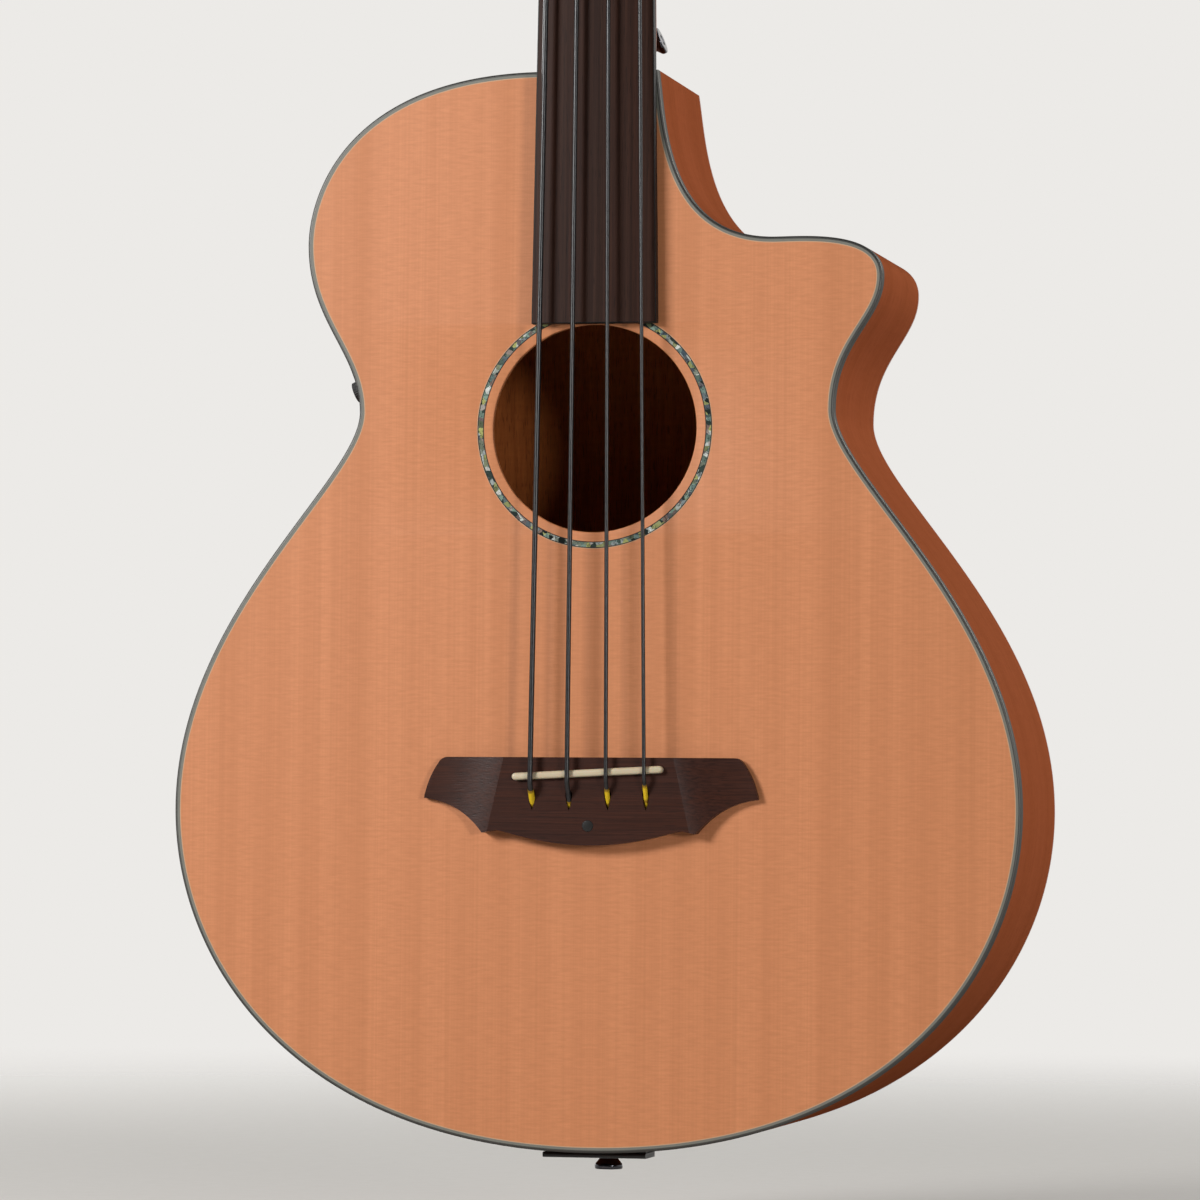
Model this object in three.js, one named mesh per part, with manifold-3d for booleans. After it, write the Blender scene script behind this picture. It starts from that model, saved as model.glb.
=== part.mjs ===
import * as THREE from "three";
import { mergeVertices } from "three/addons/utils/BufferGeometryUtils.js";
import Module from "manifold-3d";

const wasm = await Module();
wasm.setup();

// An acoustic bass guitar in millimetres. The origin is on the centre line at the nut end of the
// fingerboard, in the plane of the soundboard. X points to the treble side, Z up to the headstock, and
// the instrument faces -Y.

// Sizes that the whole instrument shares
const scaleLength = 863.6; // nut to the middle of the saddle
const joinPosition = 16; // semitone at which the neck meets the body
const semitones = 12;
const seat = 0.3; // glue line or gap between a piece and what carries it
const overrun = 6; // how far a cutting shape passes the faces that it cuts
const mergeDistance = 0.0001; // vertices nearer than this are one vertex
const quarterTurn = Math.PI / 2;

const joinZ = -scaleLength * (1 - 2 ** (-joinPosition / semitones));

const body = {
  length: 526.8,
  depthAtNeck: 106.5,
  depthAtTail: 125.2,
  domeRadius: 3500, // of the back
  sideThickness: 2.6,
  backThickness: 3,
  gridColumns: 10, // of the grid that the dome is bent from
  gridRows: 12,
  lowerHalf: 210.2, // half width of the lower bout, and its height above the tail
  lowerHeight: 166.5,
  waistHalf: 118.1, // half width of the waist, and its height counted down from the neck joint
  waistHeight: 166.3,
  upperHalf: 144.9, // half width of the upper bout, and its height above the waist
  upperHeight: 82.9,
  flatHalf: 27.1, // half width of the flat where the bass shoulder meets the neck
  // lengths of the outline's curve handles, from the tail up the bass side to the neck
  tailHandle: 141.1,
  lowerHandleBelow: 82.7,
  lowerHandleAbove: 95.7,
  waistHandleBelow: 33.1,
  waistHandleAbove: 29.3,
  upperHandleBelow: 38.2,
  upperHandleAbove: 26.1,
  shoulderHandle: 98.5,
};

// Chords in each curve of the outline
const chords = { tail: 15, lower: 12, waist: 6, shoulder: 10, tip: 6, horn: 7, scoop: 8 };

const cutaway = {
  cornerHalf: 30.2, // where the cutaway meets the neck
  cornerHandleX: 3.6,
  cornerHandleZ: 22.7,
  scoopX: 88.4, // middle of the scoop's floor, and its height above the horn's tip
  scoopHeight: 19.7,
  scoopHandle: 55.3,
  hornHandle: 14.4,
  tipX: 141.6, // the horn's tip, and its height above the waist
  tipHeight: 64.2,
  tipHandleAbove: 22.8,
  tipHandleBelow: 21.5,
  waistHandle: 33.1,
};

const tailZ = joinZ - body.length;
const saddleZ = -scaleLength;
const above = (height) => tailZ + height; // Z of a height above the tail

const soundboard = {
  thickness: 3.2,
  holeRadius: 50.6,
  holeHeight: 174.9, // of the hole's centre, counted down from the neck joint
  holeSteps: 36,
};

const rosette = {
  innerRadius: 55.2,
  outerRadius: 58.4,
  thickness: 1.3,
};

const binding = { width: 2.6, height: 6 };

const lining = { width: 6.5, height: 9 };

const neckBlock = { bassHalf: 42, trebleHalf: 46, length: 60 };
const tailBlock = { half: 62, thickness: 22 };

const brace = {
  width: 8,
  height: 13,
  endShare: 0.3, // height left at the ends
  taperShare: 0.3, // part of the length over which each end tapers
  steps: 10,
};

// Height above the saddle line
const crossBrace = { height: 79.9, angle: 0.82, lower: 190, upper: 150 };

// Heights above the soundhole's centre
const transverseBrace = { height: 76.1, length: 238 };
const upperBackBrace = { height: 64.1, half: 112 };

// Heights above the tail
const middleBackBrace = { height: 262, half: 146 };
const lowerBackBrace = { height: 132, half: 182 };

// Reaches from top above the saddle line to bottom below it
const bridgePlate = { thickness: 3, top: 11.9, bottom: 36.1, topHalf: 52, bottomHalf: 84 };

// Height counted down from the bridge plate
const toneBar = { height: 35, length: 196, angle: 0.14 };

const bridge = {
  thickness: 8.6,
  rise: 7.6, // from the saddle line up to the bridge's upper edge
  drop: 35, // from the saddle line down to the belly's lowest point
  topHalf: 74.4,
  tipHalf: 82.9,
  tipDrop: 12.4,
  pointHalf: 6.9, // the points between wings and belly, counted outwards from the notch
  pointDrop: 29.2,
  notchHalf: 46,
  notchDrop: 27.8,
  cornerRadius: 3.4,
  sideBulge: 2.2,
  wingHollow: 6.4,
  bellyHandle: 24,
  facetTopHalf: 42, // the edge where the raised middle meets each wing
  facetBottomHalf: 51.6,
  wingThickness: 3.4,
  wingRun: 34, // width of the hollow from the facet edge outwards
  wingPullShare: 0.3,
  curveSteps: 6,
};

const saddle = { half: 37.4, thickness: 3.6, slant: 0.052, height: 12.2, slotDepth: 5, steps: 6 };
const pickup = { half: 34, thickness: 2.6, height: 1.2 };
const dot = { radius: 2.7, drop: 25.6, depth: 1.5, steps: 20 };

const strings = {
  names: ["e", "a", "d", "g"],
  diameters: { e: 2.65, a: 2.4, d: 2.05, g: 1.9 },
  saddleSpacing: 19,
  nutSpacing: 11.3,
  sides: 6,
  anchorHeight: 4.6, // height of a string's axis above the soundboard inside the bridge
  mouthDrop: 17, // from the saddle to the low end of the slot in the bridge
  anchorDrop: 24.5, // from the saddle to the ball end
  ballRadius: 2.9,
  ballLength: 4.6,
  ballSides: 12,
  slotClearance: 0.5,
  boreDrop: 42,
  bendReach: 2.2, // length over which a string bends at the saddle and the nut
  bendSteps: 3,
  turns: 2,
  turnSteps: 24,
  turnGap: 0.55, // between one turn and the next
  tailLength: 3,
};

const nut = { length: 5, height: 9.2, clearance: 1 };

const board = {
  length: 644.9,
  nutHalf: 21.5,
  endHalf: 31.6,
  thickness: 6.3,
  camber: 1.1, // how much lower the edges are than the middle
  bindingWidth: 1.6,
  steps: 8,
};

const neck = {
  nutDepth: 15.5, // of the wood behind the fingerboard
  joinDepth: 19,
  heelFoot: 6, // length of the heel's flat cap
  heelLength: 56, // over which the shaft deepens into the heel
  heelShare: 0.94, // of the body's depth at the neck
  bladeShare: 0.7, // half width of the heel's blade at the body as a share of the shaft's
  taperShare: 0.25, // how much the blade narrows towards the back
  bladePower: 8,
  mixPower: 3,
  sectionSteps: 16,
  shaftSteps: 4,
  heelSteps: 10,
};

const head = {
  tilt: 0.19,
  thickness: 14,
  veneer: 2,
  length: 184,
  shoulderHalf: 38,
  shoulderHeight: 36,
  topHalf: 29,
  topDip: 7,
  rootReach: 5,
  curveSteps: 6,
};

const trussRod = {
  half: 3,
  depth: 9,
  inset: 1,
  nutRadius: 3.4,
  nutLength: 12,
  nutSides: 6,
  tailClearance: 12,
  pocketHalf: 5,
  pocketLength: 24,
  pocketDepth: 9.5,
};
const rodCover = { half: 10, topHalf: 5, length: 34, thickness: 2, start: 2, cornerHandle: 10 };

const lowerPost = { x: 24, z: 52 };
const upperPost = { x: 19, z: 132 };

const tuner = {
  places: {
    e: { side: -1, ...lowerPost },
    a: { side: -1, ...upperPost },
    d: { side: 1, ...upperPost },
    g: { side: 1, ...lowerPost },
  },
  teeth: 20,
  postRadius: 4.75,
  postHeight: 19.6, // above the headstock's face
  capRadius: 5.9,
  capHeight: 2.2,
  postSteps: 14,
  slotWidth: 3,
  slotDepth: 1.4,
  bushingWall: 1.2,
  flangeRadius: 8.6,
  flangeHeight: 2.6,
  sleeveDepth: 8,
  gearThickness: 6,
  gearTip: 10.5,
  gearRoot: 8.9,
  plateThickness: 1.8,
  plateHalf: 12.4,
  plateAbove: 13,
  plateBelow: 25,
  plateRadius: 5,
  wormRadius: 4.2,
  wormRoot: 3.1,
  wormLength: 11,
  wormRings: 3,
  earThickness: 2.6,
  earWidth: 10.4,
  shaftRadius: 2.4,
  shaftSteps: 10,
  running: 0.3, // clearance round turning shafts
  keyReach: 34, // from the post's axis to the middle of the key's button
  collarRadius: 4,
  collarLength: 5,
  buttonLength: 17,
  buttonWidth: 24,
  buttonThickness: 8,
  buttonSteps: 12,
  cornerSteps: 4,
};

const panel = {
  start: 0.5, // height above the waist at which the panel's chord begins, and its half width there
  startHalf: 117.6,
  end: 67.5,
  endHalf: 143.4,
  middleDepth: 44, // of its middle behind the soundboard
  half: 21,
  proud: 2.2, // of its face beyond the chord
  inward: 9,
  housingLength: 58,
  housingHalf: 17,
  housingDepth: 30,
};

const knob = {
  radius: 5.8,
  height: 6,
  crownRadius: 5.1,
  stem: 2.4,
  stemDepth: 4,
  steps: 16,
  along: 16.5, // of the first one up the panel's chord
  pitch: 14, // from each to the next, up the chord
  back: 13, // of the tone knobs behind the panel's middle
};
const knobs = [
  { name: "volume_knob", back: 0 },
  { name: "bass_knob", back: knob.back },
  { name: "treble_knob", back: knob.back },
].map((place, i) => ({ ...place, along: knob.along + i * knob.pitch }));

const pushButton = {
  radius: 3,
  height: 2.6,
  depth: 4.5,
  travel: 1.5,
  along: 13.5, // from the last knob
  steps: 14,
};

const battery = { length: 48.3, thickness: 17.3, height: 26.3, wall: 0.8, clearance: 0.3 };
const door = {
  half: 25.6,
  front: 11,
  back: 35.2,
  thickness: 2.6,
  cornerRadius: 1.8,
  knuckleSteps: 12,
};

const endPin = {
  setback: 10.8, // of its axis behind the door's back edge
  proud: 10.1,
  flangeRadius: 6.9,
  flangeHeight: 2.4,
  waistRadius: 4.4,
  waistHeight: 5.4,
  baseRadius: 6.2,
  baseHeight: 1.4,
  shankRadius: 4.7,
  shankLength: 30,
  boreRadius: 3.3,
  steps: 20,
};

const heelButton = {
  rise: 14.8, // of its seat above the body's end, along the neck
  setback: 35,
  seatX: 14.8,
  tilt: 0.38,
  length: 11.5,
  flangeRadius: 6.7,
  flangeHeight: 2.4,
  waistRadius: 3.9,
  baseRadius: 5.6,
  baseHeight: 1.5,
  screwRadius: 2.2,
  screwLength: 20,
  steps: 16,
};

// Materials
function finish(color, roughness, metalness = 0) {
  return new THREE.MeshStandardMaterial({ color, roughness, metalness });
}
const cedar = () => finish(0xc98a63, 0.55);
const mahogany = () => finish(0x84462b, 0.5);
const spruce = () => finish(0xd8b27c, 0.7);
const rosewood = () => finish(0x3a2b27, 0.5);
const blackPlastic = () => finish(0x1b1a19, 0.35);
const shell = () => finish(0x8fb0a4, 0.2);
const bone = () => finish(0xe2d2ae, 0.45);
const tapeWound = () => finish(0x262628, 0.3);
const chrome = () => finish(0xd4d6d8, 0.12, 1);
const steel = () => finish(0x8a8c8e, 0.35, 1);
const paintedMetal = () => finish(0x3c3f44, 0.5);

const model = new THREE.Group();

function piece(name, geometry, material, parent = model) {
  const mesh = new THREE.Mesh(geometry, material);
  mesh.name = name;
  parent.add(mesh);
  return mesh;
}

// Joining and cutting
function solidOf(geometry) {
  const bare = geometry.index ? geometry.toNonIndexed() : geometry.clone();
  bare.deleteAttribute("normal");
  bare.deleteAttribute("uv");
  const merged = mergeVertices(bare, mergeDistance);
  const triVerts = new Uint32Array(merged.index.array);
  const vertProperties = merged.attributes.position.array;
  return new wasm.Manifold(new wasm.Mesh({ numProp: 3, vertProperties, triVerts }));
}

function geometryOf(solid) {
  const made = solid.getMesh();
  const geometry = new THREE.BufferGeometry();
  geometry.setAttribute("position", new THREE.BufferAttribute(made.vertProperties, made.numProp));
  geometry.setIndex(new THREE.BufferAttribute(made.triVerts, 1));
  const flat = geometry.toNonIndexed();
  flat.computeVertexNormals();
  return flat;
}

function cut(geometry, ...tools) {
  return geometryOf(tools.reduce((rest, tool) => rest.subtract(solidOf(tool)), solidOf(geometry)));
}

function join(geometry, ...others) {
  return geometryOf(others.reduce((whole, other) => whole.add(solidOf(other)), solidOf(geometry)));
}

function common(geometry, other) {
  return geometryOf(solidOf(geometry).intersect(solidOf(other)));
}

// Shapes
function remap(geometry, place) {
  const position = geometry.attributes.position;
  const point = new THREE.Vector3();
  for (let i = 0; i < position.count; i++) {
    point.fromBufferAttribute(position, i);
    const moved = place(point);
    position.setXYZ(i, moved.x, moved.y, moved.z);
  }
  geometry.computeVertexNormals();
  return geometry;
}

// A plate whose outline is drawn in X and Z, between two values of Y
function slab(shape, front, back) {
  const geometry = new THREE.ExtrudeGeometry(shape, { depth: back - front, bevelEnabled: false });
  geometry.rotateX(quarterTurn);
  geometry.translate(0, back, 0);
  return geometry;
}

function box(lowX, highX, lowY, highY, lowZ, highZ) {
  const geometry = new THREE.BoxGeometry(highX - lowX, highY - lowY, highZ - lowZ);
  geometry.translate((lowX + highX) / 2, (lowY + highY) / 2, (lowZ + highZ) / 2);
  return geometry;
}

function circlePoints(x, z, radius, steps) {
  return Array.from({ length: steps }, (_, i) => {
    const angle = (2 * Math.PI * i) / steps;
    return new THREE.Vector2(x + radius * Math.cos(angle), z + radius * Math.sin(angle));
  });
}

function disc(x, z, radius, steps) {
  return new THREE.Shape(circlePoints(x, z, radius, steps));
}

function ringShape(x, z, innerRadius, outerRadius, steps) {
  const shape = disc(x, z, outerRadius, steps);
  shape.holes.push(new THREE.Path(circlePoints(x, z, innerRadius, steps)));
  return shape;
}

function roundedRectangle(lowX, highX, lowZ, highZ, radius) {
  const shape = new THREE.Shape();
  shape.moveTo(lowX + radius, lowZ);
  shape.lineTo(highX - radius, lowZ);
  shape.quadraticCurveTo(highX, lowZ, highX, lowZ + radius);
  shape.lineTo(highX, highZ - radius);
  shape.quadraticCurveTo(highX, highZ, highX - radius, highZ);
  shape.lineTo(lowX + radius, highZ);
  shape.quadraticCurveTo(lowX, highZ, lowX, highZ - radius);
  shape.lineTo(lowX, lowZ + radius);
  shape.quadraticCurveTo(lowX, lowZ, lowX + radius, lowZ);
  return new THREE.Shape(shape.getPoints(tuner.cornerSteps));
}

// A turned piece about the Y axis, from [radius, height] pairs that close on the axis or on themselves
function turned(profile, steps) {
  return new THREE.LatheGeometry(profile.map(([radius, height]) => new THREE.Vector2(radius, height)), steps);
}

function cylinder(radius, lowY, highY, steps) {
  return turned([[0, lowY], [radius, lowY], [radius, highY], [0, highY]], steps);
}

// A curve through listed points, with one ring of a tube at each point
class Route extends THREE.Curve {
  constructor(points) {
    super();
    this.points = points;
  }
  getPoint(t, target = new THREE.Vector3()) {
    const place = t * (this.points.length - 1);
    const first = Math.min(Math.floor(place), this.points.length - 2);
    return target.lerpVectors(this.points[first], this.points[first + 1], place - first);
  }
  getPointAt(t, target) {
    return this.getPoint(t, target);
  }
  getTangent(t, target = new THREE.Vector3()) {
    const last = this.points.length - 1;
    const here = Math.round(t * last);
    target.set(0, 0, 0);
    if (here > 0) target.add(this.points[here].clone().sub(this.points[here - 1]).normalize());
    if (here < last) target.add(this.points[here + 1].clone().sub(this.points[here]).normalize());
    return target.normalize();
  }
  getTangentAt(t, target) {
    return this.getTangent(t, target);
  }
}

function tube(points, radius, sides) {
  const section = disc(0, 0, radius, sides);
  const settings = { steps: points.length - 1, bevelEnabled: false, extrudePath: new Route(points) };
  return new THREE.ExtrudeGeometry(section, settings);
}

// The body's outline
const lowerZ = above(body.lowerHeight);
const waistZ = joinZ - body.waistHeight;
const upperZ = waistZ + body.upperHeight;

// Adds the chords of one curve, given by its handles and its end, to a list of points
function addCurve(points, steps, ...pairs) {
  const controls = pairs.map(([x, z]) => new THREE.Vector2(x, z));
  points.push(...new THREE.CubicBezierCurve(points.at(-1), ...controls).getPoints(steps).slice(1));
}

function lowerSide(side) {
  const wide = side * body.lowerHalf;
  const narrow = side * body.waistHalf;
  const points = [new THREE.Vector2(0, tailZ)];
  const belowWide = lowerZ - body.lowerHandleBelow;
  addCurve(points, chords.tail, [side * body.tailHandle, tailZ], [wide, belowWide], [wide, lowerZ]);
  const aboveWide = lowerZ + body.lowerHandleAbove;
  addCurve(points, chords.lower, [wide, aboveWide], [narrow, waistZ - body.waistHandleBelow], [narrow, waistZ]);
  return points;
}

function bassSide() {
  const points = lowerSide(-1);
  const wide = -body.upperHalf;
  const aboveWaist = [-body.waistHalf, waistZ + body.waistHandleAbove];
  addCurve(points, chords.waist, aboveWaist, [wide, upperZ - body.upperHandleBelow], [wide, upperZ]);
  const shoulder = [-body.flatHalf - body.shoulderHandle, joinZ];
  addCurve(points, chords.shoulder, [wide, upperZ + body.upperHandleAbove], shoulder, [-body.flatHalf, joinZ]);
  return points;
}

function trebleSide() {
  const points = lowerSide(1);
  const tipZ = waistZ + cutaway.tipHeight;
  const scoopZ = tipZ + cutaway.scoopHeight;
  const { tipX, scoopX, cornerHalf } = cutaway;
  const aboveWaist = [body.waistHalf, waistZ + cutaway.waistHandle];
  addCurve(points, chords.tip, aboveWaist, [tipX, tipZ - cutaway.tipHandleBelow], [tipX, tipZ]);
  const horn = [scoopX + cutaway.hornHandle, scoopZ];
  addCurve(points, chords.horn, [tipX, tipZ + cutaway.tipHandleAbove], horn, [scoopX, scoopZ]);
  const corner = [cornerHalf + cutaway.cornerHandleX, joinZ - cutaway.cornerHandleZ];
  addCurve(points, chords.scoop, [scoopX - cutaway.scoopHandle, scoopZ], corner, [cornerHalf, joinZ]);
  return points;
}

const outline = [...trebleSide(), ...bassSide().slice(1).reverse()];

function inset(points, distance) {
  const edgeNormal = (from, to) => new THREE.Vector2(from.y - to.y, to.x - from.x).normalize();
  return points.map((point, i) => {
    const before = edgeNormal(points.at(i - 1), point);
    const after = edgeNormal(point, points[(i + 1) % points.length]);
    const middle = before.clone().add(after).normalize();
    return point.clone().addScaledVector(middle, distance / middle.dot(before));
  });
}

function loopShape(distance, innerDistance) {
  const shape = new THREE.Shape(inset(outline, distance));
  if (innerDistance !== undefined) shape.holes.push(new THREE.Path(inset(outline, innerDistance)));
  return shape;
}

// How far the back's outer face lies behind the soundboard
function backDepth(x, z) {
  const share = (joinZ - z) / body.length;
  const straight = body.depthAtNeck + (body.depthAtTail - body.depthAtNeck) * share;
  const half = body.length / 2;
  const along = z - (joinZ - half);
  return straight + (half ** 2 - x ** 2 - along ** 2) / (2 * body.domeRadius);
}

const innerBack = (x, z) => backDepth(x, z) - body.backThickness - seat;
const deepest = body.depthAtTail + body.length / 2;

function profilePrism(distance) {
  return slab(loopShape(distance), -overrun, deepest);
}

// A block that covers the outline, between two faces given as functions of X and Z
function domed(frontAt, backAt) {
  const grid = new THREE.BoxGeometry(1, 1, 1, body.gridColumns, 1, body.gridRows);
  const span = 2 * (body.lowerHalf + overrun);
  const height = body.length + 2 * overrun;
  return remap(grid, (p) => {
    const x = p.x * span;
    const z = tailZ + body.length / 2 + p.z * height;
    return new THREE.Vector3(x, p.y < 0 ? frontAt(x, z) : backAt(x, z), z);
  });
}

// Soundboard with its hole and the groove for the ring
const holeZ = joinZ - soundboard.holeHeight;
const soundboardInset = binding.width + seat;

function soundboardSolid() {
  const shape = loopShape(soundboardInset);
  shape.holes.push(new THREE.Path(circlePoints(0, holeZ, soundboard.holeRadius, soundboard.holeSteps)));
  const groove = ringShape(0, holeZ, rosette.innerRadius - seat, rosette.outerRadius + seat, soundboard.holeSteps);
  return cut(slab(shape, 0, soundboard.thickness), slab(groove, -overrun, rosette.thickness + seat));
}
piece("soundboard", soundboardSolid(), cedar());
const ringPlan = ringShape(0, holeZ, rosette.innerRadius, rosette.outerRadius, soundboard.holeSteps);
piece("rosette_ring", slab(ringPlan, 0, rosette.thickness), shell());
piece("top_binding", slab(loopShape(0, binding.width), 0, binding.height), blackPlastic());

// Linings
const liningOuter = body.sideThickness + seat;
const liningInner = liningOuter + lining.width;
const liningTop = soundboard.thickness + seat;

// The back's lining, reaching further to the front and to the rear by two lengths
function backLining(outer, inner, before, beyond) {
  const unit = slab(loopShape(outer, inner), 0, 1);
  return remap(unit, (p) => {
    const rear = innerBack(p.x, p.z);
    return new THREE.Vector3(p.x, p.y < 0.5 ? rear - lining.height - before : rear + beyond, p.z);
  });
}
piece("lining_back", backLining(liningOuter, liningInner, 0, 0), spruce());

// The room that the linings leave free
const clearOfLinings = profilePrism(liningInner + seat);

// Blocks inside the body at both ends, notched round the linings
const liningNotch = [
  slab(loopShape(0, liningInner + seat), -overrun, liningTop + lining.height + seat),
  backLining(0, liningInner + seat, seat, overrun),
];

function fitted(block) {
  const room = common(profilePrism(liningOuter), domed(() => liningTop, innerBack));
  return cut(common(block, room), ...liningNotch);
}

function neckBlockSolid() {
  const low = joinZ - neckBlock.length;
  return fitted(box(-neckBlock.bassHalf, neckBlock.trebleHalf, 0, deepest, low, joinZ));
}
piece("neck_block", neckBlockSolid(), mahogany());

// Battery box, battery and door at the tail, and the end pin behind them
const boxHalf = battery.length / 2 + battery.clearance + battery.wall;
const boxMiddle = (door.front + door.back) / 2;
const boxThick = battery.thickness / 2 + battery.clearance + battery.wall;
const boxTop = tailZ + battery.height + 2 * battery.clearance + battery.wall;

function around(half, thick, lowZ, highZ) {
  return box(-half, half, boxMiddle - thick, boxMiddle + thick, lowZ, highZ);
}
const batteryRoom = around(boxHalf - battery.wall, boxThick - battery.wall, tailZ - overrun, boxTop - battery.wall);
piece("battery_box", cut(around(boxHalf, boxThick, tailZ, boxTop), batteryRoom), blackPlastic());
const batteryTop = boxTop - battery.wall - battery.clearance;
const batteryBottom = tailZ + battery.clearance;
piece("battery", around(battery.length / 2, battery.thickness / 2, batteryBottom, batteryTop), paintedMetal());
const batteryHole = around(boxHalf + seat, boxThick + seat, tailZ - overrun, boxTop + overrun);

function topLiningSolid() {
  const thicker = Math.max(body.sideThickness, binding.width) + seat;
  const whole = slab(loopShape(thicker, thicker + lining.width), liningTop, liningTop + lining.height);
  return cut(whole, batteryHole);
}
piece("lining_top", topLiningSolid(), spruce());

function alongZ(geometry, x, y, z) {
  geometry.rotateX(quarterTurn);
  geometry.translate(x, y, z);
  return geometry;
}

const shankRoom = cylinder(endPin.shankRadius + seat, -overrun, endPin.shankLength + overrun, endPin.steps);
const pinY = door.back + endPin.setback;
const pinHole = alongZ(shankRoom, 0, pinY, tailZ);

function tailBlockSolid() {
  const block = box(-tailBlock.half, tailBlock.half, 0, deepest, tailZ, tailZ + tailBlock.thickness);
  return cut(fitted(block), batteryHole, pinHole);
}
piece("tail_block", tailBlockSolid(), mahogany());

// The door is drawn in X and Y and turned down to lie under the tail
function doorSolid() {
  const plan = roundedRectangle(-door.half, door.half, door.front, door.back, door.cornerRadius);
  const plate = new THREE.ExtrudeGeometry(plan, { depth: door.thickness, bevelEnabled: false });
  plate.translate(0, 0, -door.thickness);
  const radius = door.thickness / 2;
  const axisY = door.front + radius;
  const square = box(-door.half, door.half, door.front - overrun, axisY, -door.thickness - overrun, overrun);
  const knuckle = cylinder(radius, -door.half, door.half, door.knuckleSteps);
  knuckle.rotateZ(quarterTurn);
  knuckle.translate(0, axisY, -radius);
  return join(cut(plate, square), knuckle);
}
const doorMesh = piece("battery_door", doorSolid(), blackPlastic());
doorMesh.position.z = tailZ - seat;

function endPinSolid() {
  const face = -endPin.proud;
  const profile = [
    [endPin.boreRadius, face],
    [endPin.flangeRadius, face],
    [endPin.flangeRadius, face + endPin.flangeHeight],
    [endPin.waistRadius, face + endPin.waistHeight],
    [endPin.baseRadius, -seat - endPin.baseHeight],
    [endPin.baseRadius, -seat],
    [endPin.shankRadius, -seat],
    [endPin.shankRadius, endPin.shankLength],
    [endPin.boreRadius, endPin.shankLength],
    [endPin.boreRadius, face],
  ];
  return turned(profile, endPin.steps);
}
const pinMesh = piece("end_pin", endPinSolid(), chrome());
pinMesh.rotation.x = quarterTurn;
pinMesh.position.set(0, pinY, tailZ);

// Control panel on the bass side: u runs up the panel's chord, v out of its face
const chordStart = new THREE.Vector2(-panel.startHalf, waistZ + panel.start);
const chordEnd = new THREE.Vector2(-panel.endHalf, waistZ + panel.end);
const chordLength = chordStart.distanceTo(chordEnd);
const chordAngle = Math.atan2(panel.endHalf - panel.startHalf, panel.end - panel.start);

const controls = new THREE.Group();
controls.position.set(chordStart.x, panel.middleDepth, chordStart.y);
controls.rotation.y = -chordAngle;
controls.updateMatrixWorld(true);

// A box by the panel: from low to high along the chord, and from inner to outer out of the face
function chordBox(low, high, half, inner, outer) {
  const geometry = box(-outer, -inner, -half, half, low, high);
  return geometry.applyMatrix4(controls.matrixWorld);
}

function controlPanelSolid() {
  const plate = chordBox(0, chordLength, panel.half, -panel.inward, panel.proud);
  return cut(plate, profilePrism(-seat), ...controlHoles());
}

function stemHole(radius, back, along) {
  const hole = cylinder(radius + seat, -panel.inward - overrun, panel.proud + overrun, knob.steps);
  hole.rotateZ(quarterTurn);
  hole.translate(0, back, along);
  return hole.applyMatrix4(controls.matrixWorld);
}

const buttonAlong = knobs.at(-1).along + pushButton.along;

function controlHoles() {
  const stems = knobs.map(({ back, along }) => stemHole(knob.stem, back, along));
  return [...stems, stemHole(pushButton.radius, 0, buttonAlong)];
}

const housingLow = (chordLength - panel.housingLength) / 2;
const housingHigh = housingLow + panel.housingLength;

function housingSolid() {
  const whole = chordBox(housingLow, housingHigh, panel.housingHalf, -panel.housingDepth, panel.proud);
  return cut(common(whole, profilePrism(0)), ...controlHoles());
}
piece("control_panel", controlPanelSolid(), blackPlastic());
piece("control_housing", housingSolid(), blackPlastic());
const housingHole = chordBox(
  housingLow - seat,
  housingHigh + seat,
  panel.housingHalf + seat,
  -panel.housingDepth,
  panel.proud + overrun,
);

function knobSolid() {
  const base = panel.proud + seat;
  const profile = [
    [0, base - knob.stemDepth],
    [knob.stem, base - knob.stemDepth],
    [knob.stem, base],
    [knob.radius, base],
    [knob.crownRadius, base + knob.height],
    [0, base + knob.height],
  ];
  return turned(profile, knob.steps);
}

function pushButtonSolid() {
  const top = panel.proud + pushButton.height;
  return cylinder(pushButton.radius, top - pushButton.depth - pushButton.height, top, pushButton.steps);
}

for (const { name, back, along } of knobs) {
  const mesh = piece(name, knobSolid(), blackPlastic(), controls);
  mesh.rotation.z = quarterTurn;
  mesh.position.set(0, back, along);
}
const buttonMesh = piece("tuner_button", pushButtonSolid(), blackPlastic(), controls);
buttonMesh.rotation.z = quarterTurn;
buttonMesh.position.z = buttonAlong;
model.add(controls);

// Sides: one ring with a domed rear edge, parted on the centre line
function sideRing() {
  const unit = slab(loopShape(0, body.sideThickness), 0, 1);
  const front = binding.height + seat;
  return remap(unit, (p) => new THREE.Vector3(p.x, front + p.y * (innerBack(p.x, p.z) - front), p.z));
}

function halfOf(geometry, side) {
  const near = (side * seat) / 2;
  const far = side * (body.lowerHalf + overrun);
  const half = box(Math.min(near, far), Math.max(near, far), -overrun, deepest, tailZ - overrun, joinZ + overrun);
  return common(geometry, half);
}
const drilledRing = cut(sideRing(), batteryHole, pinHole);
piece("side_bass", cut(halfOf(drilledRing, -1), housingHole, ...controlHoles()), mahogany());
piece("side_treble", halfOf(drilledRing, 1), mahogany());

const insideBack = (x, z) => backDepth(x, z) - body.backThickness;
piece("back_plate", common(domed(insideBack, backDepth), profilePrism(0)), mahogany());

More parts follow.
